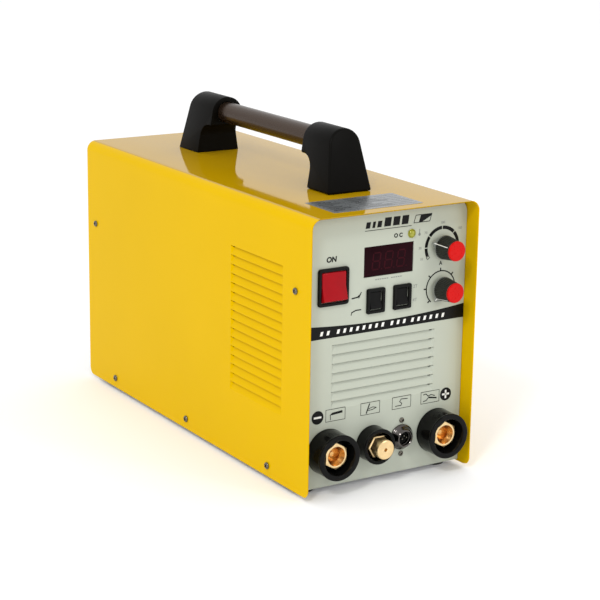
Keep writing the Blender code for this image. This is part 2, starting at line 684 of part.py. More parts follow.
def comb_outline(fins, pitch, fin, height, root):
    """A finned heat sink in section: a root bar with straight fins."""
    outline = []
    for i in range(fins):
        start = i * pitch
        outline += [(root, start), (height, start), (height, start + fin), (root, start + fin)]
    return outline + [(0.0, (fins - 1) * pitch + fin), (0.0, 0.0)]


def make_heat_sinks():
    """Two finned aluminium heat sinks for the power transistors and diodes."""
    floor = 0.0420 + GAP
    outline = comb_outline(9, 0.0095, 0.0020, 0.038, 0.006)
    for name, x, direction in (("heat_sink_left", -0.048, -1), ("heat_sink_right", 0.048, 1)):
        fins = [(x + direction * along, floor + up) for along, up in outline]
        slab(name, fins, 0.150, (0, 0.050, 0), FACE_FRONT, ALUMINIUM)


def make_power_parts():
    """Transformer, reactor, capacitors and arc starter over the power board."""
    floor = 0.0420 + GAP
    core = ((-0.034, -0.010, floor), (0.034, 0.050, floor + 0.058))
    winding = ((-0.022, -0.022, floor + 0.010), (0.022, 0.062, floor + 0.048))
    joined_blocks("main_transformer", (core, winding), FERRITE)
    reactor = ((0.014, 0.026), (0.031, 0.026), (0.034, 0.023), (0.034, 0.003), (0.031, 0.0), (0.014, 0.0))
    turned("output_reactor", reactor, (0, 0.105, floor), (0, 0, 0), COPPER)
    r = 0.0175
    can = ((0, 0.052), (r - 0.001, 0.052), (r, 0.051), (r, 0.006), (r - 0.0015, 0.0048), (r, 0.0036), (r, 0),
           (0, 0))
    for name, x in (("bus_capacitor_left", -0.021), ("bus_capacitor_right", 0.021)):
        turned(name, can, (x, -0.055, floor), (0, 0, 0), SLEEVE_BLUE)
    board = ((-0.085, -0.150, floor), (-0.020, -0.095, floor + 0.0020))
    coil = ((-0.078, -0.145, floor + 0.001), (-0.045, -0.105, floor + 0.036))
    gap_block = ((-0.040, -0.140, floor + 0.001), (-0.026, -0.110, floor + 0.024))
    joined_blocks("arc_starter", (board, coil, gap_block), BLACK_PLASTIC)


def make_gas_line():
    """The solenoid gas valve with its plunger, and the hose to the front outlet."""
    x, z = INLET
    y = VALVE_Y
    body = block("gas_valve_body", (x - 0.012, y - 0.015, z - 0.012), (x + 0.012, y + 0.015, z + 0.012),
                 BRASS)
    coil = rod("gas_valve_coil", (x, y, z), (0, 0, 0), 0.0110, 0.008, 0.044)
    boolean(body, coil, "UNION")
    guide = rod("gas_valve_guide", (x, y, z), (0, 0, 0), 0.0050, 0.014, 0.050, sides=16)
    boolean(body, guide, "DIFFERENCE")
    rod("gas_valve_plunger", (x, y, z), (0, 0, 0), 0.0047, 0.014 + GAP, 0.036, ZINC, 16)
    start = Vector((x, y - 0.015 - GAP, z))
    end = Vector((GAS_X, FRONT_BACK + NOZZLE_TAIL + GAP, SOCKET_Z))
    straight = Vector((0, 0.006, 0))
    route = [start, start - straight, start - 2 * straight, Vector((x - 0.003, 0.148, 0.027)),
             Vector((x - 0.008, 0.110, 0.022)), Vector((x - 0.010, 0.0, 0.022)),
             Vector((x - 0.008, -0.080, 0.022)), Vector((x - 0.002, -0.135, 0.022)),
             Vector((GAS_X - 0.006, -0.172, 0.038)), end + 2 * straight, end + straight, end]
    points = smooth_route(route, 3)
    hose = bpy.data.curves.new("gas_hose", "CURVE")
    hose.dimensions = "3D"
    hose.bevel_depth = 0.0035
    hose.bevel_resolution = 2
    hose.use_fill_caps = True
    spline = hose.splines.new("POLY")
    spline.points.add(len(points) - 1)
    for point, position in zip(spline.points, points):
        point.co = (*position, 1.0)
    obj = bpy.data.objects.new("gas_hose", hose)
    PARTS.objects.link(obj)
    hose.materials.append(finish_material("gas_hose_finish", BLACK_PLASTIC))


def smooth_route(route, steps):
    """Points on a Catmull-Rom curve through the route's points."""
    padded = [2 * route[0] - route[1]] + route + [2 * route[-1] - route[-2]]
    points = []
    for i in range(1, len(padded) - 2):
        a, b, c, d = padded[i - 1:i + 3]
        for step in range(steps):
            t = step / steps
            points.append(0.5 * (2 * b + (c - a) * t + (2 * a - 5 * b + 4 * c - d) * t ** 2
                                 + (3 * b - a - 3 * c + d) * t ** 3))
    points.append(route[-1])
    return points


# ---------------------------------------------------------------- rear

def make_fan():
    """The cooling fan: its square frame, the rotor with its blades, and the guard outside the panel."""
    x, z = FAN
    half = FAN_SIZE / 2
    inner = REAR_INNER - GAP
    frame = block("fan_frame", (x - half, inner - FAN_DEPTH, z - half), (x + half, inner, z + half),
                  BLACK_PLASTIC)
    drill(frame, "fan_bore", x, z, FAN_BORE, inner - FAN_DEPTH - 0.01, inner + 0.01, 40)
    spider = FAN_DEPTH - 0.004
    arms = block("fan_arms", (x - FAN_BORE - 0.002, inner - FAN_DEPTH + 0.0005, z - 0.005),
                 (x + FAN_BORE + 0.002, inner - spider, z + 0.005))
    boolean(frame, arms, "UNION")
    pin = rod("fan_pin", (x, inner, z), FACE_REAR, 0.0030, -FAN_DEPTH + 0.001, -0.008, sides=16)
    boolean(frame, pin, "UNION")
    hub = ((0.0033, -0.006), (ROTOR_HUB - 0.001, -0.006), (ROTOR_HUB, -0.007), (ROTOR_HUB, -0.032),
           (0.0033, -0.032))
    rotor = turned("fan_rotor", hub, (x, inner, z), FACE_REAR, BLACK_PLASTIC)
    boolean(rotor, rotor_blades(x, inner, z), "UNION")
    make_guard(x, z)


def rotor_blades(x, y, z):
    """The fan's blades: pitched plates about the hub."""
    mesh = bpy.data.meshes.new("fan_blades")
    shape = bmesh.new()
    root = ROTOR_HUB - 0.003
    span = ROTOR_TIP - root
    for i in range(ROTOR_BLADES):
        made = bmesh.ops.create_cube(shape, size=1.0)
        size = Matrix.Diagonal((span, 0.026, 0.0018, 1.0))
        out = Matrix.Translation((root + span / 2, 0, -0.019))
        pitch = Matrix.Rotation(math.radians(38), 4, "X")
        turn = Matrix.Rotation(2 * math.pi * i / ROTOR_BLADES, 4, "Z")
        bmesh.ops.transform(shape, matrix=turn @ out @ pitch @ size, verts=made["verts"])
    shape.to_mesh(mesh)
    shape.free()
    return place("fan_blades", mesh, (x, y, z), FACE_REAR)


def make_guard(x, z):
    """The guard: flat rings on two crossing bars."""
    outer = FAN_BORE + 0.003
    thick = 0.0016
    low = GAP
    ring = ((outer - 0.003, low + thick), (outer, low + thick), (outer, low), (outer - 0.003, low))
    guard = turned("fan_guard", ring, (x, REAR_FACE, z), FACE_REAR, CHROME, 24)
    for number in range(1, 4):
        r = outer - 0.0145 * number
        inner_ring = ((r - 0.0024, low + thick), (r, low + thick), (r, low), (r - 0.0024, low))
        ring_cut = turned("guard_ring_{}".format(number), inner_ring, (x, REAR_FACE, z), FACE_REAR, steps=20)
        boolean(guard, ring_cut, "UNION")
    reach = outer - 0.001
    bars = (((-reach, -0.0016), (reach, 0.0016)), ((-0.0016, -reach), (0.0016, reach)))
    for number, ((x0, z0), (x1, z1)) in enumerate(bars, start=1):
        bar = block("guard_bar_{}".format(number), (x + x0, REAR_FACE + low + 0.0003, z + z0),
                    (x + x1, REAR_FACE + low + thick - 0.0003, z + z1))
        boolean(guard, bar, "UNION")


def make_rear_fittings():
    """The mains cable gland, the gas inlet and the earth stud."""
    x, z = GLAND
    back = -PANEL_SHEET - GAP
    gland = ((GLAND_BORE, 0.019), (0.0095, 0.019), (0.0120, 0.015), (0.0125, 0.007), (0.0145, 0.006),
             (0.0145, GAP), (0.0097, GAP), (0.0097, back - 0.010), (GLAND_BORE, back - 0.010))
    turned("cable_gland", gland, (x, REAR_FACE, z), FACE_REAR, BLACK_PLASTIC)
    x, z = INLET
    reach = NOZZLE_REACH
    inlet = ((0.0020, reach), (0.0048, reach), (0.0048, reach - 0.012), (0.0078, reach - 0.0125),
             (0.0095, reach - 0.0130), (0.0095, GAP), (0.0067, GAP), (0.0067, back - 0.008),
             (0.0045, back - 0.008), (0.0045, back - 0.020), (0.0020, back - 0.020))
    turned("gas_inlet", inlet, (x, REAR_FACE, z), FACE_REAR, BRASS)
    x, z = STUD
    stud = ((0, 0.014), (0.0030, 0.014), (0.0030, 0.0055), (0.0060, 0.0050), (0.0060, GAP), (0.0030, GAP),
            (0.0030, back - 0.006), (0, back - 0.006))
    turned("earth_stud", stud, (x, REAR_FACE, z), FACE_REAR, BRASS, 16)


clear_scene()
PARTS = make_collection("tig_welding_machine")
CUTTERS = make_collection("cutters")

make_cover()
make_base_pan()
make_front_panel()
make_rear_panel()
make_feet()
make_cover_screws()
make_handle()
make_rocker_switch("power", POWER_SWITCH, POWER_SWITCH_SIZE, RED_PLASTIC)
make_rocker_switch("mode", MODE_SWITCH, SMALL_SWITCH_SIZE, BLACK_PLASTIC)
make_rocker_switch("trigger", TRIGGER_SWITCH, SMALL_SWITCH_SIZE, BLACK_PLASTIC)
make_display()
make_led()
make_dial("current", CURRENT_KNOB)
make_dial("slope", SLOPE_KNOB)
make_power_socket("negative", NEGATIVE_X)
make_power_socket("positive", POSITIVE_X)
make_gas_outlet()
make_torch_socket()
make_boards()
make_heat_sinks()
make_power_parts()
make_gas_line()
make_fan()
make_rear_fittings()
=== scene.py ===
"""Looks of the TIG welding machine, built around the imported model. Metres, +Z up, front towards -Y."""
import json
import math

import bmesh
import bpy
from mathutils import Matrix, Vector

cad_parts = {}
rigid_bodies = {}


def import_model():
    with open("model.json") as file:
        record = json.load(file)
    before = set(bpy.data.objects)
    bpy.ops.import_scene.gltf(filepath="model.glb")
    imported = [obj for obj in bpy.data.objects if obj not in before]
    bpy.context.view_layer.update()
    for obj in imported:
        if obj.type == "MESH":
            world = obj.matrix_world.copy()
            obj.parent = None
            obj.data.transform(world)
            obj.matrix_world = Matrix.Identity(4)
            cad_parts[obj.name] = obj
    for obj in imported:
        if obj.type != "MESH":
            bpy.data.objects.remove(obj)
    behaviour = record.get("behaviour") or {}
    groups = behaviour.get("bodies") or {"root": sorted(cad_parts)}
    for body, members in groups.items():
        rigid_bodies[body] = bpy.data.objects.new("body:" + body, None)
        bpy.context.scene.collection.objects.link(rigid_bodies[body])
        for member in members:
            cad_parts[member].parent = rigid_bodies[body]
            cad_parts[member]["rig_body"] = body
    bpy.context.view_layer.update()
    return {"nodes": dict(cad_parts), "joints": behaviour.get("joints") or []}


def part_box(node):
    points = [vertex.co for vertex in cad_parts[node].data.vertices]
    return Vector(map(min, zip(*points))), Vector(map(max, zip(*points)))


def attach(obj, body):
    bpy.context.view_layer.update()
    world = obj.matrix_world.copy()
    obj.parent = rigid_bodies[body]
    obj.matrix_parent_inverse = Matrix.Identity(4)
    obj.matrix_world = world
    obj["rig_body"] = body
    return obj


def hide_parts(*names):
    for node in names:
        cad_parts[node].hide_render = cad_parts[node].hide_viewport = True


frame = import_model()

# -------- places read from the frame

def extent(node):
    """The middle and the size of a node's box."""
    low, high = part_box(node)
    return (low + high) / 2, high - low


COVER_LOW, COVER_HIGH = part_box("case_cover")
PANEL_LOW, PANEL_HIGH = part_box("front_panel")
FACE = PANEL_LOW.y
REAR_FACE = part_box("rear_panel")[1].y
DISPLAY_LOW, DISPLAY_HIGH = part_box("display_window")
SOCKET_Z = extent("negative_socket_shell")[0].z
PIVOTS = {joint["child"]: Vector(joint["pos_m"]) for joint in frame["joints"] if "pos_m" in joint}

# Sizes that only the looks need
SHEET = 0.0012
PANEL_SHEET = 0.0015
BEND = 0.011
EDGE_ROLL = 0.0004
ROLL_DROP = 0.0003
LOUVRE_PITCH = 0.00993
LOUVRE_SLIT = 0.0008
LOUVRE_LAND = 0.0007
LOUVRE_STEPS = 8
SIDE_LOUVRES = 16
SIDE_LOUVRE_SPAN = (COVER_LOW.y + 0.053, COVER_LOW.y + 0.157)
SIDE_LOUVRE_TOP = COVER_LOW.z + 0.233
SIDE_LOUVRE_DEPTH = 0.0031
FRONT_LOUVRES = 7
FRONT_LOUVRE_HALF = 0.064
FRONT_LOUVRE_TOP = COVER_LOW.z + 0.153
FRONT_LOUVRE_DEPTH = 0.0032
UPPER_SCREWS = ((-0.2230, 0.2170), (0.2286, 0.1975))
UPPER_SCREW_RADIUS = 0.0038
FAN_SCREW = 0.0525
DIGIT_PITCH = 0.0152
DIGIT_SIZE = (0.0088, 0.0172)
DIGIT_LAYER = (0.00002, 0.00006)
INK = 0.00012
SECOND_INK = (INK, INK + 0.00005)
SEAT = 0.0001
PRESSED = 11.0
HALF_ROOT_3 = math.cos(math.pi / 6)

# Local Z of each matrix points out of a face of the case; local Y is up
FRONT = Matrix(((1, 0, 0, 0), (0, 0, -1, 0), (0, 1, 0, 0), (0, 0, 0, 1)))
REAR = Matrix(((-1, 0, 0, 0), (0, 0, 1, 0), (0, 1, 0, 0), (0, 0, 0, 1)))
LEFT = Matrix(((0, 0, -1, 0), (-1, 0, 0, 0), (0, 1, 0, 0), (0, 0, 0, 1)))
RIGHT = Matrix(((0, 0, 1, 0), (1, 0, 0, 0), (0, 1, 0, 0), (0, 0, 0, 1)))


def at(place, facing):
    """The matrix that puts a shape made in local XYZ at a place, facing out of a face."""
    return Matrix.Translation(place) @ facing


def on_panel(x, z):
    """The matrix for a shape that stands on the front panel."""
    return at(Vector((x, FACE, z)), FRONT)


def stand(node):
    """How far a node stands out of the front panel."""
    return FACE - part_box(node)[0].y


def spun(degrees):
    """A turn about local Z."""
    return Matrix.Rotation(math.radians(degrees), 4, "Z")


def polar(radius, degrees, x=0.0, y=0.0):
    """The point at a radius and an angle about a centre."""
    angle = math.radians(degrees)
    return x + radius * math.cos(angle), y + radius * math.sin(angle)


def circle(radius, step, x=0.0, y=0.0):
    """Points around a circle, one every so many degrees."""
    return [polar(radius, degrees, x, y) for degrees in range(0, 360, step)]


# -------- materials

def tint(red, green, blue):
    """A display colour, 0 to 255, as the linear colour that a shader takes."""
    channels = []
    for value in (red, green, blue):
        share = value / 255
        channels.append(share / 12.92 if share <= 0.04045 else ((share + 0.055) / 1.055) ** 2.4)
    return channels


def mixed(tree, factor, low, high):
    """A node that mixes two colours."""
    mix = tree.nodes.new("ShaderNodeMix")
    mix.data_type = "RGBA"
    mix.inputs[6].default_value = (*low, 1.0)
    mix.inputs[7].default_value = (*high, 1.0)
    tree.links.new(factor, mix.inputs[0])
    return mix.outputs[2]


def ranged(tree, value, low, high, start=0.3, end=0.7):
    """A node that maps a value to a range."""
    node = tree.nodes.new("ShaderNodeMapRange")
    for name, number in (("From Min", start), ("From Max", end), ("To Min", low), ("To Max", high)):
        node.inputs[name].default_value = number
    tree.links.new(value, node.inputs["Value"])
    return node.outputs["Result"]


def noise(tree, coordinates, scale, detail=3.0, stretch=(1.0, 1.0, 1.0)):
    """A noise texture in metres, stretched along an axis if asked."""
    mapping = tree.nodes.new("ShaderNodeMapping")
    mapping.inputs["Scale"].default_value = stretch
    texture = tree.nodes.new("ShaderNodeTexNoise")
    texture.inputs["Scale"].default_value = scale
    texture.inputs["Detail"].default_value = detail
    tree.links.new(coordinates, mapping.inputs["Vector"])
    tree.links.new(mapping.outputs["Vector"], texture.inputs["Vector"])
    return texture.outputs["Fac"]


def material(name, colour, roughness, metallic=0.0, tone=0.05, tone_scale=16.0, grain=0.1,
             grain_scale=900.0, spread=0.05, stretch=(1.0, 1.0, 1.0), coat=0.0, specular=0.5,
             glint=(1.0, 1.0, 1.0)):
    """A surface with a drifting tone, uneven roughness and a fine grain."""
    made = bpy.data.materials.new(name)
    made.use_nodes = True
    tree = made.node_tree
    shader = tree.nodes["Principled BSDF"]
    place = tree.nodes.new("ShaderNodeTexCoord").outputs["Object"]
    drift = noise(tree, place, tone_scale, 4.0, stretch)
    deep = [channel * (1 - tone) for channel in colour]
    light = [min(1.0, channel * (1 + tone)) for channel in colour]
    tree.links.new(mixed(tree, ranged(tree, drift, 0.0, 1.0), deep, light), shader.inputs["Base Color"])
    fine = noise(tree, place, grain_scale, 2.0, stretch)
    uneven = noise(tree, place, tone_scale * 6, 5.0, stretch)
    rough = ranged(tree, uneven, max(0.02, roughness - spread), min(1.0, roughness + spread))
    tree.links.new(rough, shader.inputs["Roughness"])
    bump = tree.nodes.new("ShaderNodeBump")
    bump.inputs["Strength"].default_value = grain
    bump.inputs["Distance"].default_value = 0.0002
    tree.links.new(fine, bump.inputs["Height"])
    tree.links.new(bump.outputs["Normal"], shader.inputs["Normal"])
    shader.inputs["Metallic"].default_value = metallic
    shader.inputs["Coat Weight"].default_value = coat
    shader.inputs["Coat Roughness"].default_value = 0.05
    shader.inputs["Specular IOR Level"].default_value = specular
    shader.inputs["Specular Tint"].default_value = (*glint, 1.0)
    return made


BRUSHED = (1.0, 0.04, 1.0)
YELLOW = material("yellow_paint", tint(220, 178, 0), 0.16, tone=0.025, tone_scale=5.0, grain=0.05,
                  grain_scale=420.0, spread=0.03, specular=0.04, glint=(1.0, 0.75, 0.02))
# The cover top's copy of the yellow paint: a darker base colour as painted shade, with a stronger, sharper
# reflection. The real paint is the same as on the sides.
SHADED_TOP_YELLOW = material("yellow_top_painted_shade", tint(186, 146, 4), 0.06, tone=0.02, tone_scale=5.0, grain=0.02,
                        grain_scale=300.0, spread=0.02, specular=0.13)
GREY = material("grey_paint", tint(180, 185, 171), 0.42, tone=0.02, tone_scale=9.0, grain=0.22,
                grain_scale=1600.0, spread=0.05, specular=0.25)
ZINC = material("zinc_plate", tint(176, 178, 180), 0.34, 0.9, tone=0.12, tone_scale=60.0, grain=0.08)
POST_BLACK = material("moulded_black", tint(11, 10, 8), 0.38, tone=0.12, tone_scale=30.0, grain=0.25,
                      grain_scale=1500.0, spread=0.02, specular=0.05)
TUBE = material("tube_bronze", tint(64, 49, 38), 0.26, 0.7, tone=0.10, tone_scale=55.0, grain=0.10,
                grain_scale=700.0, spread=0.06, stretch=BRUSHED)
RUBBER = material("foot_rubber", tint(34, 33, 32), 0.8, tone=0.15, tone_scale=80.0, grain=0.4)
CHROME = material("screw_chrome", tint(112, 108, 100), 0.14, 1.0, tone=0.08, tone_scale=200.0, grain=0.05)
SWITCH_BLACK = material("switch_black", tint(13, 13, 12), 0.34, tone=0.1, tone_scale=60.0, grain=0.2,
                        grain_scale=1300.0, specular=0.12)
ROCKER_RED = material("rocker_red", tint(152, 8, 20), 0.2, tone=0.08, tone_scale=70.0, grain=0.06,
                      specular=0.3, glint=(1.0, 0.45, 0.45))
WINDOW = material("smoked_window", tint(30, 3, 10), 0.10, tone=0.25, tone_scale=45.0, grain=0.02,
                  spread=0.03, specular=0.05)
DIGIT = material("digit_segments", tint(50, 9, 18), 0.2, tone=0.15, tone_scale=90.0, grain=0.03,
                 specular=0.05)
LENS = material("led_lens", tint(150, 150, 34), 0.1, 0.2, tone=0.3, tone_scale=260.0, grain=0.03, coat=0.5)
KNOB_BLACK = material("knob_black", tint(36, 38, 33), 0.46, tone=0.12, tone_scale=90.0, grain=0.3,
                      grain_scale=1500.0, specular=0.25)
SKIRT_GREY = material("skirt_grey", tint(120, 124, 116), 0.4, tone=0.1, tone_scale=120.0, grain=0.15)
CAP_RED = material("cap_red", tint(194, 8, 5), 0.3, tone=0.05, tone_scale=90.0, grain=0.1, specular=0.25,
                   glint=(1.0, 0.5, 0.5))
SHELL_BLACK = material("socket_black", tint(10, 10, 9), 0.16, tone=0.15, tone_scale=50.0, grain=0.10,
                       grain_scale=500.0, spread=0.05, specular=0.12)
BRASS = material("brass", tint(238, 208, 156), 0.34, 1.0, tone=0.08, tone_scale=140.0, grain=0.1,
                 grain_scale=800.0, spread=0.06)
BORE_BRASS = material("bore_brass", tint(220, 172, 108), 0.28, 1.0, tone=0.2, tone_scale=120.0, grain=0.15)
DARK_METAL = material("dark_chrome", tint(92, 88, 86), 0.14, 1.0, tone=0.15, tone_scale=90.0, grain=0.06)
BLACK_INK = material("black_ink", tint(8, 8, 8), 0.40, tone=0.1, tone_scale=60.0, grain=0.12,
                     grain_scale=1400.0, specular=0.15)
GREY_INK = material("grey_ink", tint(122, 124, 120), 0.45, tone=0.1, tone_scale=60.0, grain=0.12)
WHITE_INK = material("white_ink", tint(232, 232, 226), 0.40, tone=0.03, tone_scale=60.0, grain=0.12)
LABEL = material("label_foil", tint(138, 142, 144), 0.3, 0.5, tone=0.06, tone_scale=40.0, grain=0.06)
BOARD = material("board_green", tint(28, 92, 54), 0.4, tone=0.3, tone_scale=260.0, grain=0.2)
ALUMINIUM = material("aluminium", tint(190, 192, 196), 0.34, 1.0, tone=0.06, tone_scale=60.0,
                     stretch=BRUSHED)
FERRITE = material("ferrite", tint(62, 62, 64), 0.6, tone=0.15, tone_scale=90.0, grain=0.3)
COPPER = material("copper", tint(196, 112, 62), 0.3, 0.9, tone=0.15, tone_scale=220.0, grain=0.2)
SLEEVE = material("capacitor_sleeve", tint(34, 52, 104), 0.35, tone=0.1, tone_scale=60.0)
FOAM = material("screen_foam", tint(24, 24, 23), 0.85, tone=0.25, tone_scale=120.0, grain=0.5,
                grain_scale=900.0, specular=0.1)
HOSE = material("hose_black", tint(26, 26, 26), 0.5, tone=0.12, tone_scale=80.0)

CAD_FINISHES = {
    ZINC: ("base_pan", "current_pot", "current_shaft", "slope_pot", "slope_shaft", "gas_valve_plunger"),
    BOARD: ("control_board", "power_board", "display_module"),
    ALUMINIUM: ("heat_sink_left", "heat_sink_right"),
    FERRITE: ("main_transformer",),
    COPPER: ("output_reactor",),
    SLEEVE: ("bus_capacitor_left", "bus_capacitor_right"),
    HOSE: ("gas_hose", "arc_starter", "fan_frame", "fan_rotor"),
    BRASS: ("gas_valve_body",),
    GREY: ("rear_panel",),
}


# -------- mesh helpers

def make(name, shape, finishes, node=None, sharp=35.0, body="root"):
    """Turn a shape into a piece that stands for a node, or else rides on a body."""
    mesh = bpy.data.meshes.new(name)
    bmesh.ops.recalc_face_normals(shape, faces=shape.faces)
    shape.to_mesh(mesh)
    shape.free()
    for finish in finishes if isinstance(finishes, (list, tuple)) else [finishes]:
        mesh.materials.append(finish)
    mesh.shade_smooth()
    mesh.set_sharp_from_angle(angle=math.radians(sharp))
    piece = bpy.data.objects.new(name, mesh)
    bpy.context.scene.collection.objects.link(piece)
    if node:
        body = frame["nodes"][node]["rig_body"]
        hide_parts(node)
    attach(piece, body)
    return piece


def rounded(corners, radius, steps=3, closed=False):
    """A polyline with a small arc in place of each corner."""
    points = [Vector(corner) for corner in corners]
    count = len(points)
    result = []
    for i, corner in enumerate(points):
        if not closed and i in (0, count - 1):
            result.append(corner)
            continue
        before = points[i - 1] - corner
        after = points[(i + 1) % count] - corner
        start = corner + before.normalized() * min(radius, before.length * 0.45)
        end = corner + after.normalized() * min(radius, after.length * 0.45)
        for step in range(steps + 1):
            t = step / steps
            result.append(start * (1 - t) ** 2 + corner * 2 * t * (1 - t) + end * t * t)
    return [tuple(point) for point in result]


def bridge(shape, first, second, index=0):
    """Faces between two rings of vertices; a ring of one vertex is a point."""
    count = max(len(first), len(second))
    for i in range(count):
        j = (i + 1) % count
        corners = [first[i % len(first)], first[j % len(first)], second[j % len(second)],
                   second[i % len(second)]]
        face = shape.faces.new(list(dict.fromkeys(corners)))
        face.material_index = index


def lathe(shape, profile, matrix, steps=72, radius_at=None, closed=False):
    """Add a turned form: (radius, height) points about local Z; radius_at bends a radius by angle."""
    rings = []
    for radius, height in profile:
        if radius < 1e-6:
            rings.append([shape.verts.new(matrix @ Vector((0, 0, height)))])
            continue
        ring = []
        for i in range(steps):
            angle = 2 * math.pi * i / steps
            reach = radius_at(radius, height, angle) if radius_at else radius
            ring.append(shape.verts.new(matrix @ Vector((reach * math.cos(angle), reach * math.sin(angle),
                                                         height))))
        rings.append(ring)
    if closed:
        rings.append(rings[0])
    for first, second in zip(rings, rings[1:]):
        bridge(shape, first, second)


def loft(shape, loops, matrix):
    """Add a form through loops of points in local XYZ, closed at both ends."""
    rings = [[shape.verts.new(matrix @ Vector(point)) for point in loop] for loop in loops]
    for first, second in zip(rings, rings[1:]):
        bridge(shape, first, second)
    shape.faces.new(rings[0])
    shape.faces.new(rings[-1])


def turn(name, profile, matrix, finish, node=None, steps=72, sharp=35.0, radius_at=None, closed=False,
         body="root"):
    """Make a piece that is one turned form."""
    shape = bmesh.new()
    lathe(shape, profile, matrix, steps, radius_at, closed)
    make(name, shape, finish, node, sharp, body)


def plate(shape, outline, matrix, low=0.0, high=INK):
    """Add a flat outline in local XY with a thickness."""
    loft(shape, [[(x, y, height) for x, y in outline] for height in (low, high)], matrix)


def rect(width, height, corner, z=0.0, x=0.0, y=0.0, steps=5):
    """A rounded rectangle as a loop."""
    loop = []
    for quarter, (sx, sy) in enumerate(((1, 1), (-1, 1), (-1, -1), (1, -1))):
        for step in range(steps + 1):
            loop.append((*polar(corner, 90 * quarter + 90 * step / steps, x + sx * (width / 2 - corner),
                                y + sy * (height / 2 - corner)), z))
    return loop


def flat(loop):
    """A loop's points without their height."""
    return [(x, y) for x, y, _ in loop]


def sector(inner, outer, start, end, steps=10):
    """A ring segment's outline between two angles in degrees."""
    points = []
    for radius, first, last in ((outer, start, end), (inner, end, start)):
        points += [polar(radius, first + (last - first) * step / steps) for step in range(steps + 1)]
    return points


def stroke(shape, points, width, matrix, low=0.0, high=INK):
    """Add a printed line along a polyline."""
    for (x0, y0), (x1, y1) in zip(points, points[1:]):
        along = Vector((x1 - x0, y1 - y0)).normalized() * width / 2
        side = Vector((-along.y, along.x))
        start = Vector((x0, y0)) - along * 0.6
        end = Vector((x1, y1)) + along * 0.6
        outline = [tuple(start - side), tuple(end - side), tuple(end + side), tuple(start + side)]
        plate(shape, outline, matrix, low, high)


def lettering(shape, text, size, matrix, bold=0.0, slant=0.0):
    """Add a short printed label or a number, centred on the matrix's origin."""
    curve = bpy.data.curves.new("lettering", "FONT")
    curve.body = text
    curve.size = size
    curve.align_x = "CENTER"
    curve.align_y = "CENTER"
    curve.offset = bold
    curve.shear = slant
    curve.extrude = INK / 2
    guide = bpy.data.objects.new("lettering", curve)
    bpy.context.scene.collection.objects.link(guide)
    bpy.context.view_layer.update()
    mesh = bpy.data.meshes.new_from_object(guide.evaluated_get(bpy.context.evaluated_depsgraph_get()))
    bpy.data.objects.remove(guide, do_unlink=True)
    mesh.transform(matrix @ Matrix.Translation((0, 0, INK / 2)))
    shape.from_mesh(mesh)
    bmesh.ops.remove_doubles(shape, verts=shape.verts, dist=0.000001)


def soften(node, width, finish, segments=3, angle=32.0, sharp=35.0):
    """A piece with a node's form and rounded edges, in place of the node."""
    shape = bmesh.new()
    shape.from_mesh(frame["nodes"][node].data)
    bmesh.ops.remove_doubles(shape, verts=shape.verts, dist=0.00002)
    bmesh.ops.dissolve_limit(shape, angle_limit=math.radians(2.0), verts=shape.verts, edges=shape.edges)
    edges = [edge for edge in shape.edges
             if len(edge.link_faces) == 2 and math.degrees(edge.calc_face_angle(0.0)) > angle]
    bmesh.ops.bevel(shape, geom=edges, offset=width, segments=segments, profile=0.5, affect="EDGES",
                    clamp_overlap=True)
    return make(node + "_finished", shape, finish, node, sharp)


# -------- pressed sheets

def louvre_levels(top, count):
    """The heights of a bank of louvres: each one's cut edge, lip and the rows down to its foot."""
    rows = []
    for i in range(count):
        edge = top - i * LOUVRE_PITCH
        lip = edge - LOUVRE_SLIT
        foot = edge - LOUVRE_PITCH + LOUVRE_LAND
        rows.append((edge, lip, foot))
    return rows


def louvre_rows(levels, steps=LOUVRE_STEPS):
    """All the row heights that a bank of louvres needs."""
    rows = []
    for edge, lip, foot in levels:
        rows.append(edge)
        rows += [lip + (foot - lip) * step / steps for step in range(steps + 1)]
    return rows


def louvre_depth(levels, span, depth, slope, along, height):
    """How far a louvre is pressed in at a point."""
    reach = min(along - span[0], span[1] - along)
    if reach <= 0:
        return 0.0
    for _, lip, foot in levels:
        if foot <= height <= lip + 1e-7:
            rise = (height - foot) / (lip - foot)
            return depth * min(rise, reach / slope)
    return 0.0


def is_slit(levels, span, slope, along, height):
    """Whether a cell's middle lies in one of the cut slits, which open wider near their far end."""
    if not span[0] < along < span[1]:
        return False
    wide = span[1] - slope < along < span[1] - slope * 0.45
    for edge, lip, foot in levels:
        low = lip - (lip - foot) / LOUVRE_STEPS if wide else lip
        if low < height < edge:
            return True
    return False


def merged(values):
    """Sorted values without near doubles."""
    result = []
    for value in sorted(values):
        if not result or value - result[-1] > 0.00001:
            result.append(value)
    return result


def span_stops(span, slope, steps=6):
    """Column places along a bank of louvres: close together on its sloping ends."""
    stops = [span[0] + slope * step / steps for step in range(steps + 1)]
    stops += [span[1] - slope * step / steps for step in range(steps + 1)]
    return stops + [(span[0] + span[1]) / 2]


def thicken(piece, thickness):
    """Give a sheet its thickness, inwards."""
    solid = piece.modifiers.new("sheet", "SOLIDIFY")
    solid.thickness = thickness
    solid.offset = -1.0
    solid.use_even_offset = True
    evaluated = piece.evaluated_get(bpy.context.evaluated_depsgraph_get())
    mesh = bpy.data.meshes.new_from_object(evaluated)
    piece.modifiers.clear()
    piece.data = mesh
    mesh.set_sharp_from_angle(angle=math.radians(PRESSED))


def corner_stops(corner):
    """Distances from an edge at which a sheet with rounded corners needs a row."""
    return [corner * (1 - math.cos(math.radians(angle))) for angle in range(0, 91, 10)]


def squeezed(along, height, end, corner, inner):
    """Where a grid's point moves to, so that the sheet's corner is round; height is from its edge."""
    if height >= corner or abs(along) <= inner:
        return along
    limit = end - corner + math.sqrt(corner ** 2 - (corner - height) ** 2)
    return math.copysign(inner + (abs(along) - inner) * (limit - inner) / (end - inner), along)


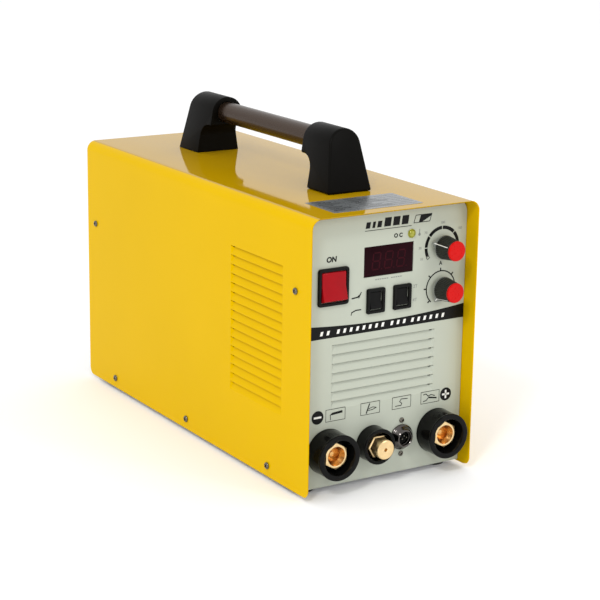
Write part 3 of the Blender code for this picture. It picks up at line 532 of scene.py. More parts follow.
def face_outwards(piece, out, level):
    """Turn a sheet over if its outermost face looks inwards."""
    for polygon in piece.data.polygons:
        if abs(polygon.center.dot(out) - level) < 0.0001:
            if polygon.normal.dot(out) < 0:
                piece.data.flip_normals()
            return


def cover_path(rows):
    """The cover's section from the left lower edge to the right one: place, normal and louvre row."""
    half = COVER_HIGH.x
    top = COVER_HIGH.z
    path = [(-half, z, -1.0, 0.0, z) for z in rows]
    for degrees in range(9, 91, 9):
        across = math.cos(math.radians(degrees))
        up = math.sin(math.radians(degrees))
        path.append((-half + BEND - BEND * across, top - BEND + BEND * up, -across, up, None))
    mirrored = [(-x, z, -nx, nz, row) for x, z, nx, nz, row in reversed(path)]
    return path + [(x, top, 0.0, 1.0, None) for x in (-0.04, 0.0, 0.04)] + mirrored


def make_cover():
    """The bent cover: two louvred sides and the top, with rolled edges and rounded lower corners."""
    low = COVER_LOW.z
    top = COVER_HIGH.z
    rear = COVER_HIGH.y
    corner = 0.009
    slope = 0.0042
    inner = rear - corner - 0.003
    levels = louvre_levels(SIDE_LOUVRE_TOP, SIDE_LOUVRES)
    path = cover_path(merged([low + stop for stop in corner_stops(corner)]
                             + [low + EDGE_ROLL, top - BEND, top - BEND - 0.01] + louvre_rows(levels)))
    ends = [rear, rear - EDGE_ROLL / 2, rear - EDGE_ROLL, inner]
    columns = merged(ends + [-end for end in ends] + span_stops(SIDE_LOUVRE_SPAN, slope))
    shape = bmesh.new()
    grid = []
    for x, z, nx, nz, row in path:
        line = []
        for y in columns:
            end = rear - abs(y)
            place = y
            drop = ROLL_DROP * (1 - end / EDGE_ROLL) ** 2 if end < EDGE_ROLL else 0.0
            if row is not None:
                drop = max(drop, louvre_depth(levels, SIDE_LOUVRE_SPAN, SIDE_LOUVRE_DEPTH, slope, y, row))
                if row - low < EDGE_ROLL / 2:
                    drop = max(drop, ROLL_DROP)
                place = squeezed(y, row - low, rear, corner, inner)
            line.append(shape.verts.new((x - nx * drop, place, z - nz * drop)))
        grid.append(line)
    for i in range(len(path) - 1):
        rows = (path[i][4], path[i + 1][4])
        for j in range(len(columns) - 1):
            along = (columns[j] + columns[j + 1]) / 2
            if None not in rows and is_slit(levels, SIDE_LOUVRE_SPAN, slope, along, sum(rows) / 2):
                continue
            face = shape.faces.new((grid[i][j], grid[i][j + 1], grid[i + 1][j + 1], grid[i + 1][j]))
            # Faces that look up take the top's darker copy of the paint, which is painted shade.
            face.material_index = int(min(path[i][3], path[i + 1][3]) > 0.95)
    cover = make("cover_sheet", shape, [YELLOW, SHADED_TOP_YELLOW], "case_cover", PRESSED)
    face_outwards(cover, Vector((0, 0, 1)), top)
    thicken(cover, SHEET)


def make_front_panel():
    """The recessed front panel with its pressed louvres, display opening and rounded top corners."""
    half = PANEL_HIGH.x
    low = PANEL_LOW.z
    top = PANEL_HIGH.z
    corner = 0.014
    slope = 0.0050
    inner = half - corner - 0.004
    span = (-FRONT_LOUVRE_HALF, FRONT_LOUVRE_HALF)
    levels = louvre_levels(FRONT_LOUVRE_TOP, FRONT_LOUVRES)
    gap = 0.0003
    left = DISPLAY_LOW.x - gap
    right = DISPLAY_HIGH.x + gap
    bottom = DISPLAY_LOW.z - gap
    crown = DISPLAY_HIGH.z + gap
    rows = merged([top - stop for stop in corner_stops(corner)] + [low, low + EDGE_ROLL, bottom, crown]
                  + louvre_rows(levels))
    columns = merged([-half, -half + EDGE_ROLL, -inner, inner, half - EDGE_ROLL, half, left, right]
                     + span_stops(span, slope))
    shape = bmesh.new()
    grid = []
    for z in rows:
        line = []
        for x in columns:
            at_edge = min(half - abs(x), z - low, top - z) < EDGE_ROLL / 2
            drop = ROLL_DROP if at_edge else louvre_depth(levels, span, FRONT_LOUVRE_DEPTH, slope, x, z)
            line.append(shape.verts.new((squeezed(x, top - z, half, corner, inner), FACE + drop, z)))
        grid.append(line)
    for i in range(len(rows) - 1):
        z = (rows[i] + rows[i + 1]) / 2
        for j in range(len(columns) - 1):
            x = (columns[j] + columns[j + 1]) / 2
            in_window = left < x < right and bottom < z < crown
            if in_window or is_slit(levels, span, slope, x, z):
                continue
            shape.faces.new((grid[i][j], grid[i][j + 1], grid[i + 1][j + 1], grid[i + 1][j]))
    panel = make("front_panel_sheet", shape, GREY, "front_panel", PRESSED)
    face_outwards(panel, Vector((0, -1, 0)), -FACE)
    thicken(panel, PANEL_SHEET)


def make_dust_screen():
    """The dark dust screen behind the panel's louvres: a foam pad with a raised rim and cross ribs."""
    width = 2 * FRONT_LOUVRE_HALF + 0.014
    height = LOUVRE_PITCH * FRONT_LOUVRES + 0.010
    rib = 0.0016
    front = -(FRONT_LOUVRE_DEPTH + PANEL_SHEET + 0.0014)
    raised = front + 0.0006
    place = on_panel(0, FRONT_LOUVRE_TOP - LOUVRE_PITCH * FRONT_LOUVRES / 2)
    shape = bmesh.new()
    sections = ((0, 0.004, front - 0.0030), (0, 0.004, front), (1, 0.0035, raised), (3, 0.003, raised),
                (4, 0.0025, front))
    loft(shape, [rect(width - ribs * rib, height - ribs * rib, corner, level)
                 for ribs, corner, level in sections], place)
    for number in range(-2, 3):
        x = number * width / 6
        plate(shape, flat(rect(rib, height - 3 * rib, rib / 4, 0, x)), place, front, raised)
    make("dust_screen", shape, FOAM)


# -------- handle

def make_handle():
    """The two moulded posts with rounded edges, and the tube."""
    for node in ("handle_post_front", "handle_post_rear"):
        soften(node, 0.0024, POST_BLACK, 4, 30.0, 30.0)
    centre, size = extent("handle_tube")
    radius = size.x / 2
    half = size.y / 2
    edge = 0.0006
    profile = [(0.0, half), (radius - edge, half), (radius, half - edge)]
    profile += [(radius, half * (1 - step / 6)) for step in range(1, 12)]
    profile += [(radius, edge - half), (radius - edge, -half), (0.0, -half)]
    turn("handle_tube_finished", profile, at(centre, FRONT), TUBE, "handle_tube", 64)


# -------- fasteners and feet

def add_screw(shape, place, facing, radius, turn=20.0, lift=0.0003):
    """A pan-head screw with a cross recess."""
    matrix = at(place, facing) @ spun(turn)
    head = radius * 0.56
    slot_half = radius * 0.14
    reach = radius * 0.56
    crown_radius = radius * 0.62
    shoulder = lift + head * 0.99
    steps = 48
    profile = rounded([(crown_radius, shoulder), (radius * 0.9, lift + head * 0.72), (radius, lift),
                       (0.0, lift)], radius * 0.2)
    lathe(shape, profile, matrix, steps)
    cross = []
    for quarter in range(4):
        base = math.radians(90 * quarter)
        for x, y in ((reach, -slot_half), (reach, slot_half), (slot_half, slot_half)):
            cross.append((x * math.cos(base) - y * math.sin(base), x * math.sin(base) + y * math.cos(base)))
    rim = [polar(crown_radius, 360 * i / steps) for i in range(steps)]
    rings = []
    for outline, share, height in ((rim, 1.0, shoulder), (cross, 1.0, lift + head),
                                   (cross, 0.9, lift + head * 0.35)):
        rings.append([shape.verts.new(matrix @ Vector((x * share, y * share, height))) for x, y in outline])
    edges = []
    for ring in rings[:2]:
        for i, vert in enumerate(ring):
            edges.append(shape.edges.new((vert, ring[(i + 1) % len(ring)])))
    bmesh.ops.triangle_fill(shape, edges=edges, use_beauty=True)
    bridge(shape, rings[1], rings[2])
    shape.faces.new(rings[2])
    bmesh.ops.remove_doubles(shape, verts=shape.verts, dist=0.000002)


def make_screws():
    """The cover's screws: three along each lower edge, and two high on each side."""
    for side, facing, x in (("left", LEFT, COVER_LOW.x), ("right", RIGHT, COVER_HIGH.x)):
        for number in (1, 2, 3):
            node = "cover_screw_{}_{}".format(side, number)
            centre, size = extent(node)
            shape = bmesh.new()
            add_screw(shape, Vector((x, centre.y, centre.z)), facing, size.z / 2, 20.0 + 31.0 * number)
            make(node + "_finished", shape, CHROME, node, 30)
        for number, (y, z) in enumerate(UPPER_SCREWS, start=1):
            shape = bmesh.new()
            add_screw(shape, Vector((x, y, z)), facing, UPPER_SCREW_RADIUS, 52.0 * number)
            make("upper_screw_{}_{}".format(side, number), shape, CHROME, None, 30)


def make_feet():
    """The rubber feet, with a rounded sole edge and a moulded groove."""
    for node in ("foot_front_left", "foot_front_right", "foot_rear_left", "foot_rear_right"):
        centre, size = extent(node)
        radius = size.x / 2
        tall = size.z
        profile = rounded([(0.0, tall), (radius, tall), (radius, tall * 0.55), (radius - 0.0004, tall * 0.5),
                           (radius, tall * 0.42), (radius, 0.0), (0.0, 0.0)], 0.0009)
        base = Matrix.Translation((centre.x, centre.y, centre.z - tall / 2))
        turn(node + "_finished", profile, base, RUBBER, node, 48)


# -------- switches, display and lamp

def make_switch(name, finish):
    """A rocker switch's bezel with its well, and its rounded rocker."""
    centre, size = extent(name + "_switch_frame")
    lip = stand(name + "_switch_frame")
    corner = 0.0030 if name == "power" else 0.0016
    body = 0.004
    well = 0.0068
    sections = ((body, corner, -0.012), (body, corner, SEAT), (0.0, corner, SEAT),
                (0.0, corner, lip - 0.0009), (0.0007, corner, lip - 0.0002), (0.0018, corner, lip),
                (well - 0.0010, corner * 0.5, lip - 0.0002), (well, corner * 0.4, lip - 0.0010),
                (well, corner * 0.4, -0.011))
    shape = bmesh.new()
    loft(shape, [rect(size.x - less, size.z - less, curve, height) for less, curve, height in sections],
         on_panel(centre.x, centre.z))
    make(name + "_bezel", shape, SWITCH_BLACK, name + "_switch_frame", 30)
    soften(name + "_rocker", 0.0006, finish, 3, 28.0, 28.0)


def make_display():
    """The smoked window with a fine bevel, and the three dark digits on its face."""
    centre, size = extent("display_window")
    matrix = at(Vector((centre.x, DISPLAY_LOW.y, centre.z)), FRONT)
    sections = ((0.0, 0.0008, -0.0024), (0.0, 0.0008, -0.0006), (0.0006, 0.0006, -0.0001),
                (0.0014, 0.0004, 0.0))
    shape = bmesh.new()
    loft(shape, [rect(size.x - less, size.z - less, curve, height) for less, curve, height in sections],
         matrix)
    make("display_glass", shape, WINDOW, "display_window", 30)
    shape = bmesh.new()
    for place in (-1, 0, 1):
        add_digit(shape, matrix @ Matrix.Translation((place * DIGIT_PITCH, 0.0, 0.0)), *DIGIT_SIZE)
    make("display_digits", shape, DIGIT)


def add_digit(shape, matrix, width, height):
    """The seven segments and the point of one digit, leaning a little."""
    lean = 0.12
    half = width / 2
    step = height / 2
    thick = 0.0015
    ends = (((-half, step), (half, step)), ((-half, 0), (half, 0)), ((-half, -step), (half, -step)),
            ((-half, 0), (-half, step)), ((half, 0), (half, step)), ((-half, -step), (-half, 0)),
            ((half, -step), (half, 0)))
    for (x0, y0), (x1, y1) in ends:
        start = Vector((x0 + lean * y0, y0))
        end = Vector((x1 + lean * y1, y1))
        trim = (end - start).normalized() * 0.0012
        stroke(shape, [tuple(start + trim), tuple(end - trim)], thick, matrix, *DIGIT_LAYER)
    plate(shape, circle(0.0008, 30, half + 0.0022, -step), matrix, *DIGIT_LAYER)


def make_lamp():
    """The status lamp: a clear dome in a thin metal bezel."""
    centre = extent("status_led")[0]
    place = on_panel(centre.x, centre.z)
    dome = 0.0040
    stem = 0.0027
    profile = [(dome * math.cos(math.radians(a)), 0.0006 + 0.0030 * math.sin(math.radians(a)))
               for a in range(90, -1, -10)]
    profile += [(dome, SEAT), (stem, SEAT), (stem, -0.004), (0.0, -0.004)]
    turn("status_lamp_dome", profile, place, LENS, "status_led", 40)
    hole = dome + 0.00005
    bezel = rounded([(hole, SEAT), (0.0049, SEAT), (0.0047, 0.0009), (hole, 0.0011)], 0.0003, 3, True)
    turn("status_lamp_bezel", bezel, place, LENS, None, 40, closed=True)


# -------- dials

POINTERS = {"current": 157.0, "slope": 229.0}
POINTER_REACH = 0.0175
KNOB_FOOT = 0.0045
KNOB_BORE = 0.0033
FLUTES = 36
FLUTE_DEPTH = 0.00025


def make_dial(name):
    """A fluted knob on a grey skirt with a pointer, its white line, and its coloured cap."""
    knob = name + "_knob"
    radius = extent(knob)[1].z / 2
    reach = stand(knob)
    pivot = PIVOTS[knob]
    cap_radius = extent(name + "_knob_cap")[1].x / 2
    matrix = on_panel(pivot.x, pivot.z)
    turned = matrix @ spun(POINTERS[name])
    foot = KNOB_FOOT + 0.0012
    waist = foot + 0.0008
    crown = reach - 0.0012

    def fluted(distance, height, angle):
        if distance < cap_radius - 0.001 or height > crown:
            return distance
        return distance + FLUTE_DEPTH * math.cos(FLUTES * angle)

    steps = 8
    body = [(KNOB_BORE, foot), (radius - 0.0006, foot), (radius - 0.0002, foot + 0.0004)]
    for step in range(steps + 1):
        share = step / steps
        body.append((radius - 0.0002 + (cap_radius - radius) * share, waist + (crown - waist) * share))
    body += [(cap_radius - 0.0003, reach - 0.0004), (cap_radius - 0.0007, reach), (KNOB_BORE, reach)]
    turn(knob + "_body", body, matrix, KNOB_BLACK, knob, FLUTES * 8, 40, fluted, True)
    make_skirt(knob, turned, radius, foot)
    make_pointer_line(knob, turned, radius, cap_radius, foot, reach)
    make_cap(name, matrix, cap_radius)


def make_skirt(knob, turned, radius, foot):
    """The thin skirt under a knob: a disc that tapers to a point."""
    rim = radius + 0.0003
    opening = math.acos(rim / POINTER_REACH)

    def pointed(distance, height, angle):
        away = abs((angle + math.pi) % (2 * math.pi) - math.pi)
        if distance < 0.008 or away > opening:
            return distance
        return min(distance / math.cos(opening - away), POINTER_REACH - 0.0004)

    profile = [(KNOB_BORE, KNOB_FOOT), (rim - 0.0002, KNOB_FOOT), (rim, KNOB_FOOT + 0.0002),
               (rim, foot - 0.0004), (rim - 0.0002, foot - 0.0001), (KNOB_BORE, foot - 0.0001)]
    turn(knob + "_skirt", profile, turned, SKIRT_GREY, None, 180, 30, pointed, True, knob)


def make_pointer_line(knob, turned, radius, cap_radius, foot, reach):
    """The white line from the skirt's point, up the knob's side, to the cap."""
    half = 0.00042
    side = radius + INK
    top = cap_radius + INK
    tip = POINTER_REACH - 0.0022
    under = foot - 0.0001
    waist = foot + 0.0008
    crown = reach - 0.0012
    inner = [(tip, under), (side, under), (side, waist), (top, crown)]
    outer = [(tip, foot + 0.0002), (side + 0.0003, foot + 0.0002), (side + 0.0002, waist),
             (top + 0.0002, crown)]
    shape = bmesh.new()
    loft(shape, [[(r0, -half, h0), (r0, half, h0), (r1, half, h1), (r1, -half, h1)]
                 for (r0, h0), (r1, h1) in zip(inner, outer)], turned)
    make(knob + "_line", shape, WHITE_INK, body=knob)


def make_cap(name, matrix, radius):
    """A knob's cap: a disc with a soft rim and a faint moulded ring."""
    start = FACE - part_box(name + "_knob_cap")[1].y
    end = stand(name + "_knob_cap")
    profile = rounded([(0.0, end - 0.0001), (radius * 0.74, end - 0.0001), (radius * 0.80, end),
                       (radius - 0.0003, end - 0.0003), (radius + 0.0001, start + 0.0008),
                       (radius - 0.0002, start), (0.0, start)], 0.0007, 4)
    turn(name + "_cap", profile, matrix, CAP_RED, name + "_knob_cap", sharp=50)


# -------- sockets

SHELL_FLOOR = 0.0029


def hexagon(turn=0.0):
    """A function that gives a hexagon's reach at an angle, for a circle through its corners."""
    def outline(distance, angle):
        part = (angle - turn + math.pi / 6) % (math.pi / 3) - math.pi / 6
        return distance * HALF_ROOT_3 / math.cos(math.pi / 6 - abs(part))
    return outline


def add_contact(shape, matrix, radius, bore, base, reach, deep):
    """A hexagonal boss, a corner up, with a chamfered crown and a stepped bore."""
    flat_radius = radius * HALF_ROOT_3 * 0.97
    outline = hexagon(math.radians(30))
    steps = 96

    def ring(distance, height, sided=False, chamfer=0.0):
        made = []
        for i in range(steps):
            angle = 2 * math.pi * i / steps
            out = outline(distance, angle) if sided else distance
            made.append(shape.verts.new(matrix @ Vector((out * math.cos(angle), out * math.sin(angle),
                                                         height - (out - flat_radius) * chamfer))))
        return made

    outer = [ring(radius, base, True), ring(radius, reach, True, 0.45), ring(flat_radius, reach),
             ring(bore + 0.0010, reach), ring(bore + 0.0003, reach - 0.0003)]
    inner = outer[-1:]
    for share, drop in ((1.0, 0.0010), (0.74, 0.0048), (0.70, 0.0056), (0.68, deep), (0.30, deep),
                        (0.26, deep - 0.0040)):
        inner.append(ring(bore * share, reach - drop))
    inner.append([shape.verts.new(matrix @ Vector((0, 0, reach - deep + 0.0044)))])
    for index, rings in enumerate((outer, inner)):
        for first, second in zip(rings, rings[1:]):
            bridge(shape, first, second, index)
    shape.faces.new(outer[0])


def make_shell(piece, node, bore, hole, lip, groove, foot):
    """An insulating shell with a lip about its mouth and a flange on the panel; gives its place."""
    centre, size = extent(node)
    radius = size.x / 2
    barrel = radius - 0.0004
    reach = stand(node)
    matrix = on_panel(centre.x, SOCKET_Z)
    profile = rounded([(bore, reach), (radius - 0.0002, reach), (radius, reach - lip),
                       (barrel, reach - lip - groove), (barrel, foot + 0.0006), (radius - SEAT, foot),
                       (radius - SEAT, SEAT), (hole, SEAT), (hole, SHELL_FLOOR),
                       (bore - 0.0004, SHELL_FLOOR)], groove, 3, True)
    turn(piece, profile, matrix, SHELL_BLACK, node, 96, 45, closed=True)
    return matrix


def make_power_socket(name):
    """A weld socket: an insulating shell about a hexagonal brass contact."""
    contact = name + "_socket_contact"
    matrix = make_shell(name + "_shell", name + "_socket_shell", 0.0186, 0.0095, 0.0022, 0.0008, 0.0018)
    shape = bmesh.new()
    add_contact(shape, matrix, 0.0144, 0.0100, SHELL_FLOOR + 0.0002, stand(contact), 0.013)
    make(name + "_contact", shape, [BRASS, BORE_BRASS], contact, 25)


def make_gas_outlet():
    """The gas outlet: a collar about a hexagonal brass nozzle with a round, drilled tip."""
    matrix = make_shell("gas_collar", "gas_outlet_collar", 0.0152, 0.0085, 0.0018, 0.0007, 0.0014)
    tip = stand("gas_outlet_nozzle")
    shoulder = 0.0155
    radius = 0.0130
    tip_radius = 0.0104
    bore = 0.0018
    base = SHELL_FLOOR + 0.0002
    outline = hexagon()

    def section(distance, height, angle):
        sided = distance > radius * 0.9 and height < shoulder + 0.0001
        return outline(distance, angle) if sided else distance

    profile = [(0.0, tip - 0.006), (bore, tip - 0.006), (bore, tip - 0.0004), (bore + 0.0004, tip),
               (0.0050, tip - 0.0001), (tip_radius - 0.0012, tip), (tip_radius - 0.0002, tip - 0.0006),
               (tip_radius, tip - 0.0012), (tip_radius, shoulder + 0.0034), (radius * 0.9001, shoulder),
               (radius, shoulder - 0.0010), (radius, base), (0.0, base)]
    turn("gas_nozzle", profile, matrix, BRASS, "gas_outlet_nozzle", 96, 25, section)


def make_torch_socket():
    """The torch-switch socket: a metal ring, a core with pins, and its two screws."""
    centre, size = extent("torch_socket_ring")
    radius = size.x / 2
    reach = stand("torch_socket_ring")
    matrix = on_panel(centre.x, SOCKET_Z)
    bore = 0.0075
    profile = [(radius, 0.0002), (radius, 0.0020), (radius - 0.0004, 0.0026), (radius - 0.0012, 0.0031),
               (radius - 0.0016, 0.0036), (bore + 0.0030, reach - 0.0022), (bore + 0.0022, reach - 0.0008),
               (bore + 0.0016, reach - 0.0001), (bore + 0.0004, reach), (bore, reach - 0.0005),
               (bore, 0.0046), (bore - 0.0003, 0.0044), (bore - 0.0003, 0.0036), (bore, 0.0034),
               (bore, 0.0002)]
    turn("torch_ring", profile, matrix, DARK_METAL, "torch_socket_ring", 96, 25, closed=True)
    core = rounded([(0.0, 0.0012), (0.0050, 0.0012), (0.0052, 0.0022), (bore - 0.0006, 0.0022),
                    (bore - 0.0004, 0.0002), (0.0, 0.0002)], 0.0003)
    turn("torch_core", core, matrix, SWITCH_BLACK, "torch_socket_core", 64, 30)
    shape = bmesh.new()
    pin = [(0.0, 0.0056), (0.0007, 0.0053), (0.0010, 0.0046), (0.0010, 0.0), (0.0, 0.0)]
    for angle in (10.0, 190.0, 100.0):
        lathe(shape, pin, matrix @ Matrix.Translation((*polar(0.0028, angle), 0.0013)), 20)
    make("torch_pins", shape, CHROME)
    shape = bmesh.new()
    for rise in (0.0183, -0.0186):
        add_screw(shape, Vector((centre.x, FACE, SOCKET_Z + rise)), FRONT, 0.0030, 35.0, SEAT)
    make("torch_socket_screws", shape, CHROME, sharp=30)


# -------- print on the front panel

def box_outline(width, height, line, shape, matrix):
    """A thin rectangular frame as four lines."""
    w = width / 2
    h = height / 2
    stroke(shape, [(-w, -h), (w, -h), (w, h), (-w, h), (-w, -h)], line, matrix)


def make_band():
    """The dark band across the panel, its upper edge a shallow arc, with a row of slanted dashes."""
    half = PANEL_HIGH.x - SEAT
    low = COVER_LOW.z + 0.1610
    end = COVER_LOW.z + 0.1762
    waist = COVER_LOW.z + 0.1708
    steps = 24
    upper = []
    for step in range(steps + 1):
        x = half - 2 * half * step / steps
        upper.append((x, waist + (end - waist) * (x / half) ** 2))
    shape = bmesh.new()
    plate(shape, [(-half, low), (half, low)] + upper, on_panel(0, 0))
    make("panel_band", shape, BLACK_INK)
    pitch = 0.0078
    shape = bmesh.new()
    for start, count in ((-0.0790, 2), (-0.0590, 8), (0.0070, 3), (0.0330, 6)):
        for i in range(count):
            dash = slanted(start + i * pitch, low + 0.0034, 0.0030, 0.0044)
            plate(shape, dash, on_panel(0, 0), *SECOND_INK)
    make("panel_band_dashes", shape, WHITE_INK)


def slanted(x, base, width, height, lean=0.0012):
    """A bar's outline that leans to the right."""
    return [(x, base), (x + width, base), (x + width + lean, base + height), (x + lean, base + height)]


def make_title():
    """The panel's heading, as plain slanted bars over a line, and a plain two-tone mark."""
    shape = bmesh.new()
    matrix = on_panel(0, 0)
    base = COVER_LOW.z + 0.2694
    small = 0.0065
    large = 0.0092
    for x, width, height in ((-0.0265, 0.0052, small), (-0.0185, 0.0034, small), (-0.0125, 0.0052, small),
                             (-0.0040, 0.0082, large), (0.0068, 0.0082, large), (0.0176, 0.0082, large)):
        plate(shape, slanted(x, base, width, height), matrix)
    stroke(shape, [(-0.0270, base - 0.0024), (0.0300, base - 0.0024)], 0.0006, matrix)
    x = 0.0330
    top = base + 0.0078
    border = slanted(x, base, 0.0200, top - base, 0.0025)
    stroke(shape, border + border[:1], 0.0007, matrix)
    plate(shape, [(x + 0.0062, base), (x + 0.0100, base), (x + 0.0218, base + 0.0058), (x + 0.0225, top),
                  (x + 0.0086, top)], matrix)
    make("panel_title_bars", shape, BLACK_INK)


def make_dial_print():
    """The dials' scales: a segmented arc and a ticked arc, with numbers."""
    shape = bmesh.new()
    current = PIVOTS["current_knob"]
    matrix = on_panel(current.x, current.z)
    inner = 0.0184
    outer = 0.0220
    gap = 1.4
    stops = (206, 179, 143, 91, 44, 0)
    for start, end in zip(stops, stops[1:]):
        plate(shape, sector(inner, outer, start - gap, end + gap), matrix)
    first = matrix @ spun(210) @ Matrix.Translation(((inner + outer) / 2, 0, 0))
    box_outline(0.0032, 0.0026, 0.0006, shape, first)
    slope = PIVOTS["slope_knob"]
    ticked = on_panel(slope.x, slope.z)
    plate(shape, sector(0.0176, 0.0189, 229, -49, 60), ticked)
    for angle in (222, 178, 137, 92, 44, 2, -42):
        stroke(shape, [polar(0.0182, angle), polar(0.0212, angle)], 0.0014, ticked)
    lettering(shape, "A", 0.0060, on_panel(current.x - 0.0010, current.z - 0.0178), 0.0001)
    make("panel_dial_scales", shape, BLACK_INK)
    shape = bmesh.new()
    for angle, reach, text in ((203, 0.0280, "10"), (178, 0.0280, "30"), (142, 0.0268, "70"),
                               (90, 0.0254, "100"), (38, 0.0282, "180")):
        lettering(shape, text, 0.0038, matrix @ Matrix.Translation((*polar(reach, angle), 0)))
    make("panel_dial_numbers", shape, GREY_INK)


def make_labels():
    """The short labels by the switch, the lamp and the selectors."""
    shape = bmesh.new()
    power = extent("power_switch_frame")[0]
    lamp = extent("status_led")[0]
    lettering(shape, "ON", 0.0076, on_panel(power.x - 0.0022, power.z + 0.0278), 0.00032, 0.1)
    lettering(shape, "O C", 0.0058, on_panel(lamp.x - 0.0166, lamp.z - 0.0004), 0.00028)
    make("panel_labels", shape, BLACK_INK)
    shape = bmesh.new()
    trigger = extent("trigger_switch_frame")[0]
    for rise, text in ((0.0085, "2T"), (-0.0060, "4T")):
        lettering(shape, text, 0.0050, on_panel(trigger.x + 0.0170, trigger.z + rise))
    lamp_matrix = on_panel(lamp.x + 0.0100, lamp.z)
    stroke(shape, [(0, 0.0034), (0, -0.0012)], 0.0009, lamp_matrix)
    plate(shape, circle(0.0015, 24, 0.0, -0.0022), lamp_matrix)
    rule = on_panel((DISPLAY_LOW.x + DISPLAY_HIGH.x) / 2 - 0.0160, DISPLAY_LOW.z - 0.0036)
    pitch = 0.0028
    for i in (0, 1, 2, 3, 4, 5, 7, 8, 9, 10, 11):
        stroke(shape, [(i * pitch, 0), (i * pitch + 0.0013, 0)], 0.0010, rule)
    make("panel_small_labels", shape, GREY_INK)
    shape = bmesh.new()
    mode = extent("mode_switch_frame")[0]
    upper = on_panel(mode.x - 0.0225, mode.z + 0.0068)
    stroke(shape, [(-0.0060, -0.0014), (0.0006, -0.0008), (0.0040, 0.0016)], 0.0014, upper)
    stroke(shape, [(0.0052, 0.0040), (0.0022, -0.0018)], 0.0010, upper)
    lower = on_panel(mode.x - 0.0225, mode.z - 0.0085)
    stroke(shape, [(-0.0060, -0.0008), (-0.0010, 0.0010), (0.0052, 0.0010)], 0.0012, lower)
    stroke(shape, [(-0.0060, -0.0008), (-0.0066, -0.0034)], 0.0009, lower)
    make("panel_mode_signs", shape, BLACK_INK)


def make_socket_signs():
    """Plus and minus discs and the four framed signs over the sockets."""
    shape = bmesh.new()
    white = bmesh.new()
    row = COVER_LOW.z + 0.0785
    disc_radius = 0.0072
    box_size = (0.0236, 0.0128)
    for x, bars in ((-0.0800, 1), (0.0815, 2)):
        disc = on_panel(x, row)
        plate(shape, circle(disc_radius, 10), disc)
        for bar in range(bars):
            plate(white, flat(rect(0.0092, 0.0021, 0.0004)), disc @ spun(90 * bar), *SECOND_INK)
    make("polarity_marks", white, WHITE_INK)
    signs = [on_panel(x, row) for x in (-0.0582, -0.0152, 0.0244, 0.0612)]
    for sign in signs:
        box_outline(*box_size, 0.0005, shape, sign)
    gun, pen, lead, clamp = signs
    plate(shape, [(-0.0068, 0.0004), (-0.0040, 0.0026), (0.0084, 0.0036), (0.0086, 0.0010),
                  (-0.0044, 0.0000)], gun)
    stroke(shape, [(-0.0064, 0.0006), (-0.0060, -0.0048)], 0.0008, gun)
    stroke(shape, [(-0.0048, -0.0050), (-0.0010, 0.0048)], 0.0013, pen)
    stroke(shape, [(-0.0030, -0.0010), (0.0030, 0.0008), (0.0076, -0.0004), (0.0030, -0.0020),
                   (-0.0034, -0.0024)], 0.0007, pen)
    stroke(shape, [(-0.0078, -0.0034), (-0.0006, -0.0034), (0.0004, -0.0012), (-0.0026, 0.0010),
                   (-0.0004, 0.0036), (0.0074, 0.0030)], 0.0008, lead)
    plate(shape, [(-0.0020, 0.0006), (0.0086, -0.0014), (0.0086, -0.0030), (-0.0020, -0.0012)], clamp)
    stroke(shape, [(-0.0088, 0.0034), (-0.0054, 0.0040), (-0.0026, 0.0012), (0.0012, 0.0024),
                   (0.0060, 0.0006)], 0.0009, clamp)
    stroke(shape, [(-0.0086, -0.0040), (-0.0050, -0.0034), (-0.0020, -0.0006)], 0.0009, clamp)
    make("socket_signs", shape, BLACK_INK)


# -------- top label

def make_top_label():
    """The foil plate on the cover's top, with plain ruled lines."""
    low = Vector((-0.0660, COVER_LOW.y + 0.0160))
    high = Vector((0.0420, COVER_LOW.y + 0.0720))
    place = Matrix.Translation((0, 0, COVER_HIGH.z))
    centre = (low + high) / 2
    size = high - low
    shape = bmesh.new()
    thickness = 0.00025
    plate(shape, flat(rect(size.x, size.y, 0.0015, 0, centre.x, centre.y)), place, 0.00002, thickness)
    make("top_label_plate", shape, LABEL)
    shape = bmesh.new()
    for i in range(7):
        y = high.y - 0.0075 - i * 0.0070
        word = y + 0.0032
        for start, end, height, width in ((low.x + 0.004, high.x - 0.004, y, 0.0006),
                                          (low.x + 0.006, low.x + 0.018 + 0.006 * (i % 3), word, 0.0016),
                                          (low.x + 0.045, low.x + 0.060 + 0.008 * (i % 4), word, 0.0012)):
            stroke(shape, [(start, height), (end, height)], width, place, thickness, thickness + 0.00005)
    make("top_label_lines", shape, BLACK_INK)


# -------- rear

def make_fan_guard():
    """The fan guard: rings of round wire over four spokes."""
    fan = PIVOTS["fan_rotor"]
    reach = extent("fan_guard")[1].x / 2
    level = REAR_FACE + 0.0011
    wire = 0.0008
    ring_count = 6
    hub = 0.010
    shape = bmesh.new()
    for number in range(ring_count):
        radius = reach - wire - number * (reach - hub) / ring_count
        lathe(shape, circle(wire, 45, radius), at(Vector((fan.x, level, fan.z)), REAR), 72, closed=True)
    for angle in (45, 135, 225, 315):
        turned = at(Vector((fan.x, level - 0.0006, fan.z)), REAR) @ spun(angle)
        loops = [[(distance, across, up * 0.9) for across, up in circle(wire, 45)]
                 for distance in (hub - 0.002, reach * 0.5, reach + 0.0002)]
        loft(shape, loops, turned)
    make("fan_guard_wires", shape, CHROME, "fan_guard", 40)


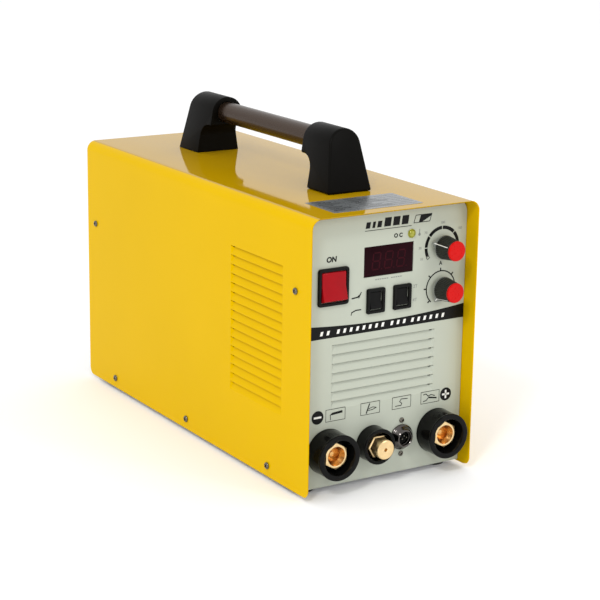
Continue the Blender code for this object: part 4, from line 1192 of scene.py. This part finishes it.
def make_rear():
    """The fan guard, the rear panel's screws, the fittings, and the earth stud's washer and sign."""
    make_fan_guard()
    fan = PIVOTS["fan_rotor"]
    shape = bmesh.new()
    for x in (-FAN_SCREW, FAN_SCREW):
        for z in (-FAN_SCREW, FAN_SCREW):
            add_screw(shape, Vector((fan.x + x, REAR_FACE, fan.z + z)), REAR, 0.0036, 25.0 + x * 900, SEAT)
    for x, z in ((-0.088, 0.030), (0.088, 0.030), (-0.088, 0.255), (0.088, 0.255)):
        add_screw(shape, Vector((x, REAR_FACE, z)), REAR, 0.0034, 60.0 + z * 300, SEAT)
    make("rear_screws", shape, CHROME, sharp=30)
    soften("cable_gland", 0.0006, SWITCH_BLACK)
    soften("gas_inlet", 0.0003, BRASS)
    soften("earth_stud", 0.0003, BRASS)
    stud = extent("earth_stud")[0]
    hole = 0.0033
    rim = 0.0078
    thickness = 0.0008
    turn("earth_washer", [(hole, SEAT), (rim, SEAT), (rim, thickness), (hole, thickness)],
         at(Vector((stud.x, REAR_FACE, stud.z)), REAR), ZINC, None, 40, closed=True)
    shape = bmesh.new()
    sign = at(Vector((stud.x, REAR_FACE, stud.z + 0.0175)), REAR)
    stroke(shape, [(0, 0.0042), (0, 0.0008)], 0.0007, sign)
    for i, half in enumerate((0.0036, 0.0024, 0.0012)):
        stroke(shape, [(-half, 0.0006 - i * 0.0016), (half, 0.0006 - i * 0.0016)], 0.0007, sign)
    make("earth_sign", shape, BLACK_INK)


# -------- stage

def make_stage():
    """A plain pale floor and soft studio light."""
    shape = bmesh.new()
    bmesh.ops.create_grid(shape, x_segments=1, y_segments=1, size=30.0)
    mesh = bpy.data.meshes.new("floor")
    shape.to_mesh(mesh)
    shape.free()
    floor = bpy.data.objects.new("floor", mesh)
    bpy.context.scene.collection.objects.link(floor)
    white = material("floor_white", (0.95, 0.95, 0.95), 0.9, tone=0.0, grain=0.0, specular=0.1)
    shader = white.node_tree.nodes["Principled BSDF"]
    shader.inputs["Emission Color"].default_value = (1.0, 1.0, 1.0, 1.0)
    shader.inputs["Emission Strength"].default_value = 0.06
    mesh.materials.append(white)
    world = bpy.data.worlds.new("studio")
    world.use_nodes = True
    background = world.node_tree.nodes["Background"]
    background.inputs["Color"].default_value = (1.0, 1.0, 1.0, 1.0)
    background.inputs["Strength"].default_value = 1.0
    bpy.context.scene.world = world
    target = Vector((0, 0, 0.2))
    lights = (("key_light", (-1.9, -1.7, 2.3), 0.5, 28.0), ("front_light", (0.9, -2.2, 1.3), 0.4, 6.0))
    for name, place, size, power in lights:
        data = bpy.data.lights.new(name, "AREA")
        data.shape = "DISK"
        data.size = size
        data.energy = power
        light = bpy.data.objects.new(name, data)
        light.location = place
        light.rotation_euler = (target - Vector(place)).to_track_quat("-Z", "Y").to_euler()
        bpy.context.scene.collection.objects.link(light)
    bpy.context.scene.view_settings.view_transform = "Standard"


def make_camera():
    """The camera at the viewing angle: from the front left, looking down a little."""
    data = bpy.data.cameras.new("camera")
    data.sensor_width = 36.0
    data.lens = 108.7
    camera = bpy.data.objects.new("camera", data)
    place = Matrix.Translation((-1.0325, -1.698, 0.6715))
    for degrees, axis in ((-32.37, "Z"), (-14.89, "X"), (-0.89, "Y"), (90, "X")):
        place = place @ Matrix.Rotation(math.radians(degrees), 4, axis)
    camera.matrix_world = place
    bpy.context.scene.collection.objects.link(camera)
    bpy.context.scene.camera = camera


make_camera()
make_stage()
for finish, nodes in CAD_FINISHES.items():
    for node in nodes:
        frame["nodes"][node].data.materials.clear()
        frame["nodes"][node].data.materials.append(finish)
make_cover()
make_front_panel()
make_dust_screen()
make_handle()
make_screws()
make_feet()
make_switch("power", ROCKER_RED)
for switch in ("mode", "trigger"):
    make_switch(switch, SWITCH_BLACK)
make_display()
make_lamp()
for dial in ("current", "slope"):
    make_dial(dial)
for pole in ("negative", "positive"):
    make_power_socket(pole)
make_gas_outlet()
make_torch_socket()
make_band()
make_title()
make_dial_print()
make_labels()
make_socket_signs()
make_top_label()
make_rear()
